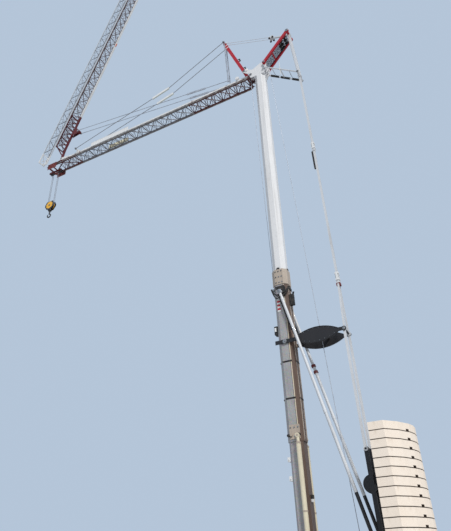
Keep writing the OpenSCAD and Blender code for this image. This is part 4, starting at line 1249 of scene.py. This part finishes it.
piece("spacer_sleeves", "superstructure", "black_paint", "rubber", spacer_sleeves)
piece("gauge_rod", "superstructure", "white_paint", "tip_white", gauge_rod)
grow("spacer_rungs", "superstructure", "galvanised", "zinc", rungs,
     {"Half width": 0.262, "Bar radius": 0.014},
     [SPACER_ROOT.lerp(SPACER_END, k / 4) for k in range(1, 4)])
grow("lever_rungs", "superstructure", "black_paint", "frame_black", rungs,
     {"Half width": 0.2, "Bar radius": 0.02},
     [LEVER_FOOT.lerp(LEVER_HEAD, share) for share in (0.12, 0.5, 0.86)])

# %% [markdown]
# ### Clamps and links of the tie bars
# At each joint of the tie bars a white clamp holds the plates together, and below the upper joint a
# dark link lies along the bar on the mast's side. The bars lean, so each form is drawn upright and
# then turned by the bar's own angle.

# %% Tie clamps, the dark link and the lever's drum
TIE_HIGH = Vector((-0.79, 0.0, 16.2))
TIE_LOW = Vector((-0.89, 0.0, 10.2))
AT_HIGH, AT_LOW = [Matrix.Translation(joint) @ lean_of(TIE_LOW, TIE_HIGH) for joint in (TIE_HIGH, TIE_LOW)]


def tie_clamps(form):
    for at in (AT_HIGH, AT_LOW):
        for z in (-0.02, 0.22):
            block(form, (-0.066, -0.075, z - 0.03), (0.066, 0.075, z + 0.03), at)
        for side in SIDES:
            side_block(form, side, (-0.035, 0.035), (0.075, 0.085), (-0.05, 0.25), at)


def tie_cheeks(form):
    """broad galvanised plates outside the bars, from the head's tip to the spacer"""
    at = Matrix.Translation((SPACER_END + REAR_TIP) / 2) @ lean_of(SPACER_END, REAR_TIP)
    half = (REAR_TIP - SPACER_END).length / 2 - 0.12
    for side in SIDES:
        side_block(form, side, (-0.065, 0.065), (0.061, 0.067), (-half, half), at)


def lever_drum(form):
    half = [(CORE, 0.12), (0.25, 0.12), (0.25, 0.1), (0.2, 0.095)]
    turned(form, mirrored(half, -1) + half[::-1], (-0.93, 0.0, 3.76), 36)


piece("tie_clamps", "superstructure", "white_paint", "tip_white", tie_clamps, 0.004)
piece("tie_cheeks", "superstructure", "galvanised", "tie_zinc", tie_cheeks, 0.002)
piece("tie_link", "superstructure", "black_paint", "rubber",
      lambda form: block(form, (0.046, -0.045, -1.05), (0.105, 0.045, -0.18), AT_HIGH), 0.006)
piece("tie_buckle", "superstructure", "dark_red_paint", "trolley_red",
      lambda form: block(form, (-0.07, -0.07, -0.26), (0.07, 0.07, -0.16), AT_LOW), 0.004)
piece("lever_drum", "superstructure", "black_paint", "frame_black", lever_drum)


# %% [markdown]
# ## The panel on the spreader
# The lens-shaped panel behind the mast is left bare. A raised rim and a row of rivets keep it from
# looking like cut card. The rim follows two arcs of one circle, so it is a closed ribbon of points that
# are worked out from the circle's radius.

# %% Rim of the lens
LENS_X = 0.01
LENS_Z = 8.3
LENS_LENGTH = 1.64
LENS_HEIGHT = 0.53
LENS_RADIUS = (LENS_LENGTH ** 2 + LENS_HEIGHT ** 2) / (4 * LENS_HEIGHT)


def lens_points(inset, count=28):
    """points of the lens's outline, moved inwards by the inset"""
    radius = LENS_RADIUS - inset
    rise = LENS_RADIUS - LENS_HEIGHT / 2
    half = math.acos(rise / radius)
    points = []
    for sign in (1, -1):
        for k in range(count):
            angle = half - 2 * half * k / count
            x, z = radius * math.sin(angle), radius * math.cos(angle) - rise
            points.append((LENS_X + sign * x, LENS_Z + sign * z))
    return points


def lens_rim(form):
    for side in SIDES:
        low, high = side * 0.3053, side * 0.313
        rows = []
        for (ax, az), (bx, bz) in zip(lens_points(0.004), lens_points(0.03)):
            corners = ((ax, low, az), (ax, high, az), (bx, high, bz), (bx, low, bz))
            rows.append([form.verts.new(Vector(corner)) for corner in corners])
        for k in range(len(rows)):
            here, there = rows[k], rows[(k + 1) % len(rows)]
            for j in range(4):
                form.faces.new((here[j], here[(j + 1) % 4], there[(j + 1) % 4], there[j]))


piece("lens_rim", "superstructure", "black_paint", "frame_black", lens_rim)
paired_bolts("lens_rivets", "superstructure", [(x, 0.306, z) for x, z in lens_points(0.05, 9)], 0.014, 0.008)


# %% [markdown]
# ## The platform
# The photograph ends above the platform, so its machinery is what such cranes have: a winch with rope
# wound on its drum, a switch cabinet with doors and vents, and a pump unit for the rams. The rope on
# the drum is a spiral, which Geometry Nodes have as a ready curve.

# %% Rope on the drum
def coil_tree():
    bench, given = new_tree("wound_rope", {
        "Turns": "Float", "Drum radius": "Float", "Width": "Float", "Rope radius": "Float",
        "Material": "Material"})
    spiral = bench.add("GeometryNodeCurveSpiral", {
        "Resolution": 20, "Rotations": given["Turns"], "Start Radius": given["Drum radius"],
        "End Radius": given["Drum radius"], "Height": given["Width"]})
    return close_tree(bench, round_along(bench, spiral, given["Rope radius"], 6), given["Material"])


DRUM = Vector((-0.24, 0.0, 1.48))
COIL_WIDTH = 0.48
coil_place = Matrix.Translation(DRUM + Vector((0, COIL_WIDTH / 2, 0))) @ Matrix.Rotation(QUARTER, 4, "X")
grow("drum_rope", "superstructure", "rope_steel", "rope", coil_tree(),
     {"Turns": 22.0, "Drum radius": 0.181, "Width": COIL_WIDTH, "Rope radius": 0.0105}, matrix=coil_place)


# %% Doors and vents of the cabinet
CABINET_FACE = -0.9203
DOOR_FACE = CABINET_FACE - 0.012


def cabinet_doors(form):
    for low, high in ((-0.315, 0.015), (0.025, 0.355)):
        block(form, (low, DOOR_FACE, 1.17), (high, CABINET_FACE, 2.01))
        block(form, (low + 0.03, DOOR_FACE - 0.004, 1.86), (high - 0.03, DOOR_FACE, 1.97))
    hinge_y = CABINET_FACE - 0.01
    for z in (1.25, 1.6, 1.93):
        for x in (-0.318, 0.358):
            round_bar(form, (x, hinge_y, z - 0.03), (x, hinge_y, z + 0.03), 0.008, 10)
    block(form, (-0.345, -0.935, 2.0405), (0.385, -0.61, 2.052))


def cabinet_handles(form):
    for x in (-0.02, 0.06):
        block(form, (x - 0.012, -0.945, 1.52), (x + 0.012, -0.9325, 1.66))
        round_bar(form, (x, -0.9325, 1.56), (x, -0.962, 1.56), 0.008, 10)
        block(form, (x - 0.01, -0.966, 1.5), (x + 0.01, -0.958, 1.62))


def slat_tree():
    bench, given = new_tree("slats", {"Length": "Float", "Material": "Material"})
    size = bench.add("ShaderNodeCombineXYZ", {"X": given["Length"], "Y": 0.012, "Z": 0.004})
    slat = bench.add("GeometryNodeMeshCube", {"Size": size})
    lean = bench.add("FunctionNodeEulerToRotation", {0: (math.radians(38), 0.0, 0.0)})
    return close_tree(bench, copies(bench, given["Geometry"], slat, lean), given["Material"])


piece("cabinet_doors", "superstructure", "white_paint", "cabinet_white", cabinet_doors, 0.003)
piece("cabinet_handles", "superstructure", "black_paint", "rubber", cabinet_handles, 0.002)
grow("cabinet_vents", "superstructure", "white_paint", "pump_grey", slat_tree(), {"Length": 0.22},
     [(x, -0.935, 1.24 + 0.018 * k) for x in (-0.15, 0.19) for k in range(9)])

# %% Pump unit, hoses and winch
PUMP_MOTOR = (-0.02, 0.75, 0.0)


def pump_details(form):
    """a cover and a filler on the tank, and a cap and cooling fins on the motor"""
    block(form, (-0.315, 0.9005, 1.17), (0.275, 0.908, 1.53))
    dome = [(CORE, 1.82), (0.092, 1.82), (0.092, 1.835), (0.05, 1.86), (CORE, 1.865)]
    turned(form, dome, PUMP_MOTOR, 24, "Z")
    for k in range(9):
        low = 1.575 + k * 0.024
        band(form, 0.0901, 0.104, low, low + 0.008, PUMP_MOTOR, 24)
    round_bar(form, (0.18, 0.75, 1.5605), (0.18, 0.75, 1.6), 0.035, 20)


def ram_hoses(form):
    """from the pump unit under the mast's foot to each ram"""
    for side, near_pump in ((-1, -0.45), (1, 0.5)):
        route = [(0.12, 0.62, 1.5), (0.3, near_pump, 1.46), (0.62, side * 0.46, 1.48),
                 (0.86, side * 0.45, 1.62), (0.93, side * 0.42, 1.72)]
        tube(form, smooth_path(route), 0.014)


def winch_details(form):
    """fins and a cap on the winch's motor, and a cap on each end of its drum"""
    for k in range(7):
        low = -0.4 + k * 0.015
        band(form, 0.1001, 0.118, low, low + 0.006, DRUM, 28, "Y")
    turned(form, [(CORE, -0.421), (0.095, -0.421), (0.085, -0.436), (CORE, -0.44)], DRUM, 28)
    for side, start in ((-1, 0.312), (1, 0.31)):
        end = [(CORE, start), (0.07, start), (0.07, start + 0.012), (CORE, start + 0.014)]
        turned(form, mirrored(end, side), DRUM, 24)


piece("pump_details", "superstructure", "grey_paint", "pump_grey", pump_details, 0.002)
piece("ram_hoses", "superstructure", "black_paint", "rubber", ram_hoses)
piece("winch_details", "superstructure", "cast_grey", "cast_metal", winch_details)


# %% [markdown]
# ## The rams, struts and feet
# Rings and ports tell a ram from a plain tube. The rear struts have sleeves at their ends and their
# middle, a black lower stretch, and a red lock on the far one. The outriggers stand on ribbed feet.

# %% Rams, struts and outriggers
RAM_X = MAST_X - 0.13


def ram_rings(form):
    for side in SIDES:
        centre = (RAM_X, side * 0.35, 0.0)
        for z in (1.7, 3.2, 5.03):
            band(form, 0.0701, 0.079, z, z + 0.04, centre)
        turned(form, [(0.0451, 5.071), (0.062, 5.071), (0.058, 5.1), (0.0451, 5.1)], centre, 28, "Z")
        round_bar(form, (RAM_X, side * 0.42, 1.9), (RAM_X, side * 0.45, 1.9), 0.02, 12)


def rear_strut(side):
    """both ends of the rear strut on one side"""
    return Vector((-1.03, side * 0.43, 1.54)), Vector((1.08, side * 0.38, 10.1))


def sleeve(form, side, share, reach, radius):
    """a short sleeve round a rear strut, at a share of its length"""
    foot, head = rear_strut(side)
    along = (head - foot).normalized() * reach
    spot = foot.lerp(head, share)
    round_bar(form, spot - along, spot + along, radius, 24)


def strut_sleeves(form):
    for side in SIDES:
        for share in (0.035, 0.5, 0.965):
            sleeve(form, side, share, 0.05, 0.055)
            sleeve(form, side, share, 0.065, 0.0505)


def strut_boots(form):
    for side in SIDES:
        foot, head = rear_strut(side)
        round_bar(form, foot.lerp(head, 0.05), foot.lerp(head, 0.235), 0.0495, 24)


def strut_lock(form):
    for share in (0.675, 0.7):
        sleeve(form, -1, share, 0.04, 0.075)


JACK_REACH = 3.12


def jacks():
    """the angle and the place of each jack"""
    angles = [math.radians(45 + 90 * k) for k in range(4)]
    return [(a, (JACK_REACH * math.cos(a), JACK_REACH * math.sin(a), 0.0)) for a in angles]


def foot_ribs(form):
    """ribs on each foot's plate, a collar on the jack's top and the turns of its screw"""
    rib = [(0.121, 0.031), (0.235, 0.031), (0.235, 0.036), (0.121, 0.066)]
    for _, centre in jacks():
        for j in range(8):
            spin = Matrix.Translation(centre) @ Matrix.Rotation(j * math.pi / 4, 4, "Z")
            plate(form, rib, -0.005, 0.005, spin)
        turned(form, [(0.0755, 1.031), (0.1, 1.031), (0.1, 1.05), (0.0755, 1.06)], centre, 24, "Z")
        for z in (0.16, 0.2, 0.24, 0.28, 0.32, 0.36):
            turned(form, [(0.0751, z), (0.0795, z + 0.012), (0.0751, z + 0.024)], centre, 24, "Z")


piece("ram_rings", "superstructure", "beige_paint", "collar_beige", ram_rings)
piece("strut_sleeves", "superstructure", "white_paint", "strut_white", strut_sleeves)
piece("strut_boots", "superstructure", "black_paint", "frame_black", strut_boots)
piece("strut_lock", "superstructure", "dark_red_paint", "trolley_red", strut_lock)
piece("foot_ribs", "chassis", "galvanised", "zinc", foot_ribs)

arm_heads = []
for angle, centre in jacks():
    arm_heads += circle(0.1, 6, 0.9305, centre, angle)
bolts("arm_bolts", "chassis", arm_heads, "+Z", 0.02, 0.012)


# %% [markdown]
# ## Trolley, block and ropes
# The wheels, guide sheaves and block sheaves are plain discs in the CAD model, so they are replaced by
# turned ones with hubs and grooves.

# %% Wheels and sheaves
BOTTOM_CHORD_HALF = 0.03
RAIL_THICK = 0.012
WHEEL_RADIUS = 0.045
RAIL_TOP = CHORD_TOP - JIB_DEPTH - BOTTOM_CHORD_HALF + RAIL_THICK
WHEEL_Z = RAIL_TOP + WHEEL_RADIUS + 0.0005
GUIDE_Z = 21.13
FALL_X = 0.1903
GUIDE_RADIUS = 0.11
GUIDE_X = FALL_X + GUIDE_RADIUS + 0.0003
FALL_Y = 0.034


def trolley_turned(form):
    wheel = [(CORE, 0.314), (WHEEL_RADIUS, 0.314), (WHEEL_RADIUS, 0.338), (0.0435, 0.35), (0.02, 0.35),
             (0.02, 0.386), (CORE, 0.386)]
    for dx in (-0.22, 0.22):
        for side in SIDES:
            turned(form, mirrored(wheel, side), (HOOK_X + dx, 0.0, WHEEL_Z), 28)
    for dx in (-GUIDE_X, GUIDE_X):
        for y in (-FALL_Y, FALL_Y):
            turned(form, groove(GUIDE_RADIUS, 0.0255, 0.05, 0.02), (HOOK_X + dx, y, GUIDE_Z), 36)


rollers = piece("trolley_turned", "trolley", "bare_steel", "cast_metal", trolley_turned)
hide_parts("trolley_wheels")


def block_turned(form):
    for y in (-FALL_Y, FALL_Y):
        turned(form, groove(0.183, 0.0355, 0.05, 0.008), (HOOK_X, y, HOOK_Z), 40)


block_wheels = piece("block_turned", "hook_block", "cast_grey", "cast_metal", block_turned)
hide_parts("block_sheaves")


# %% Rope falls
def rope_falls(form):
    for dx in (-FALL_X, FALL_X):
        for y in (-FALL_Y, FALL_Y):
            round_bar(form, (HOOK_X + dx, y, HOOK_Z), (HOOK_X + dx, y, GUIDE_Z), 0.01, 12)


falls = piece("rope_falls", "trolley", "rope_steel", "rope", rope_falls, ride=False)
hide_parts("hoist_rope")
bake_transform(falls)


# %% Details of the block and the hook
CHEEK_BOLTS = ((-0.16, 0.12), (0.16, 0.12), (-0.2, -0.03), (0.2, -0.03), (-0.1, -0.19), (0.1, -0.19))
LATCH_PIN = Vector((HOOK_X + 0.012, 0.0, HOOK_Z - 0.53))


def block_details(form):
    for side in SIDES:
        cap(form, side, (HOOK_X, 0.0, HOOK_Z), 0.052, 0.008, 0.03, 0.016, start=0.1, sides=28)


def hook_latch(form):
    """a wire tongue in two stretches, and its pin"""
    bends = [LATCH_PIN + Vector((dx, 0.0, dz)) for dx, dz in ((0.0, 0.0), (0.038, -0.015), (0.074, -0.05))]
    tube(form, smooth_path(bends), 0.007)
    band(form, CORE, 0.011, -0.034, 0.034, LATCH_PIN, 12, "Y")


piece("block_details", "hook_block", "bare_steel", "bolt_metal", block_details)
paired_bolts("cheek_bolts", "hook_block", [(HOOK_X + dx, 0.0942, HOOK_Z + dz) for dx, dz in CHEEK_BOLTS],
             0.026, 0.014)
piece("hook_latch", "hook", "bare_steel", "bolt_metal", hook_latch)


# %% [markdown]
# ## The jib's joints
# Where the diagonals meet the chords there are gusset plates, where two sections meet there are
# flanges, and the folding pivot has its own keepers. Each rides on the section that it belongs to.

# %% Gussets, flanges and keepers
PLATE_HALF = 0.004
CHORD_HALF = 0.025
ROOT_BAY = 0.795
SPAN_BAY = 0.875
MIDDLE_BAY = 0.8636


def chord_gussets(form, stations, matrix):
    """small plates where the diagonals meet the three chords"""
    low = CHORD_HALF - JIB_DEPTH
    for x in stations:
        under = [(x - 0.11, -0.03), (x + 0.11, -0.03), (x + 0.05, -0.12), (x - 0.05, -0.12)]
        plate(form, under, -PLATE_HALF, PLATE_HALF, matrix)
        over = [(x - 0.1, low), (x + 0.1, low), (x + 0.04, low + 0.08), (x - 0.04, low + 0.08)]
        for side in SIDES:
            middle = side * JIB_WIDTH / 2
            plate(form, over, middle - PLATE_HALF, middle + PLATE_HALF, matrix)


def gusset_piece(name, kind, start, bay, numbers, matrix):
    stations = [start + bay * k for k in numbers]
    piece(name, *kind, lambda form: chord_gussets(form, stations, matrix))


gusset_piece("root_gussets", DARK_RED_LEVEL, ROOT_START, ROOT_BAY, range(5), INNER)
gusset_piece("span_gussets", GREY_LEVEL, ROOT_END, SPAN_BAY, range(1, 8), INNER)
gusset_piece("middle_gussets", GREY_MIDDLE, MIDDLE_ROOT_END, MIDDLE_BAY, range(1, 11), MIDDLE)


# %% [markdown]
# ### Boards and stay plates
# Each side of the inner section carries a plain board above the bottom chord: a long white one and a
# shorter cream one. Both stand clear of the trolley's side plates, which pass below them. The stays
# run through pairs of painted link plates.

# %% The boards and the plates on the stays
BOARD_LOW = 21.53
BOARD_HIGH = 21.8
BOARD_Y = 0.3


def board(form, start, end, side):
    """a thin board with a flat rail along its lower and its upper edge"""
    side_block(form, side, (start, end), (BOARD_Y, BOARD_Y + 0.01), (BOARD_LOW, BOARD_HIGH))
    for z in (BOARD_LOW, BOARD_HIGH - 0.02):
        side_block(form, side, (start - 0.01, end + 0.01), (BOARD_Y - 0.004, BOARD_Y + 0.016), (z, z + 0.02))


def board_brackets(form):
    for side, stations in ((1, (8.6, 9.6, 10.6)), (-1, (9.0, 9.95))):
        for x in stations:
            side_block(form, side, (x - 0.015, x + 0.015), (0.17, BOARD_Y), (21.535, 21.553))


def stay_link_plates(form):
    start, end = Vector((STAY_PLATE_START, 0.0, 23.425)), Vector((STAY_PLATE_END, 0.0, 23.19))
    lean = Matrix.Rotation(math.atan2(start.z - end.z, end.x - start.x), 4, "Y")
    at = Matrix.Translation((start + end) / 2) @ lean
    half = (end - start).length / 2
    for y in (-0.228, -0.172, 0.172, 0.228):
        block(form, (-half, y - 0.0045, -0.06), (half, y + 0.0045, 0.06), at)


piece("long_board", "superstructure", "white_paint", "tip_white",
      lambda form: board(form, 8.4, 10.8, 1), 0.002)
piece("short_board", "superstructure", "beige_paint", "board_cream",
      lambda form: board(form, 8.85, 10.1, -1), 0.002)
piece("board_brackets", "superstructure", "galvanised", "zinc", board_brackets)
piece("stay_link_plates", "superstructure", "white_paint", "tip_white", stay_link_plates, 0.002)


# %% Flanges between the sections
def flanges(stations, matrix, half=0.012):
    """a function that draws a block round each of the three chords at every station"""
    def draw(form):
        for x in stations:
            block(form, (x - half, -0.052, -0.052), (x + half, 0.052, 0.046), matrix)
            for side in SIDES:
                y, z = side * JIB_WIDTH / 2, -JIB_DEPTH
                block(form, (x - half, y - 0.04, z - 0.04), (x + half, y + 0.0295, z + 0.042), matrix)
    return draw


def pivot_keepers(form):
    for side in SIDES:
        cap(form, side, PIVOT, 0.044, 0.0069, 0.024, 0.0169, start=0.0621)


def orange_lug(form):
    """a small lug on the middle section's top chord"""
    block(form, (8.3, -0.03, -0.0415), (8.52, 0.03, -0.03), LEANING)
    block(form, (8.34, -0.012, -0.03), (8.48, 0.012, -0.012), LEANING)


piece("inner_flanges", "superstructure", "dark_red_paint", "trolley_red",
      flanges((ROOT_END - 0.04, SPAN_END + 0.04), INNER), 0.003)
piece("middle_flanges", "middle_jib", "dark_red_paint", "trolley_red",
      flanges((MIDDLE_ROOT_END - 0.03, MIDDLE_SPAN_END - 0.03), MIDDLE), 0.003)
piece("pivot_keepers", "superstructure", "bare_steel", "bolt_metal", pivot_keepers)
piece("orange_lug", "middle_jib", "yellow_paint", "bracket_orange", orange_lug, 0.003)
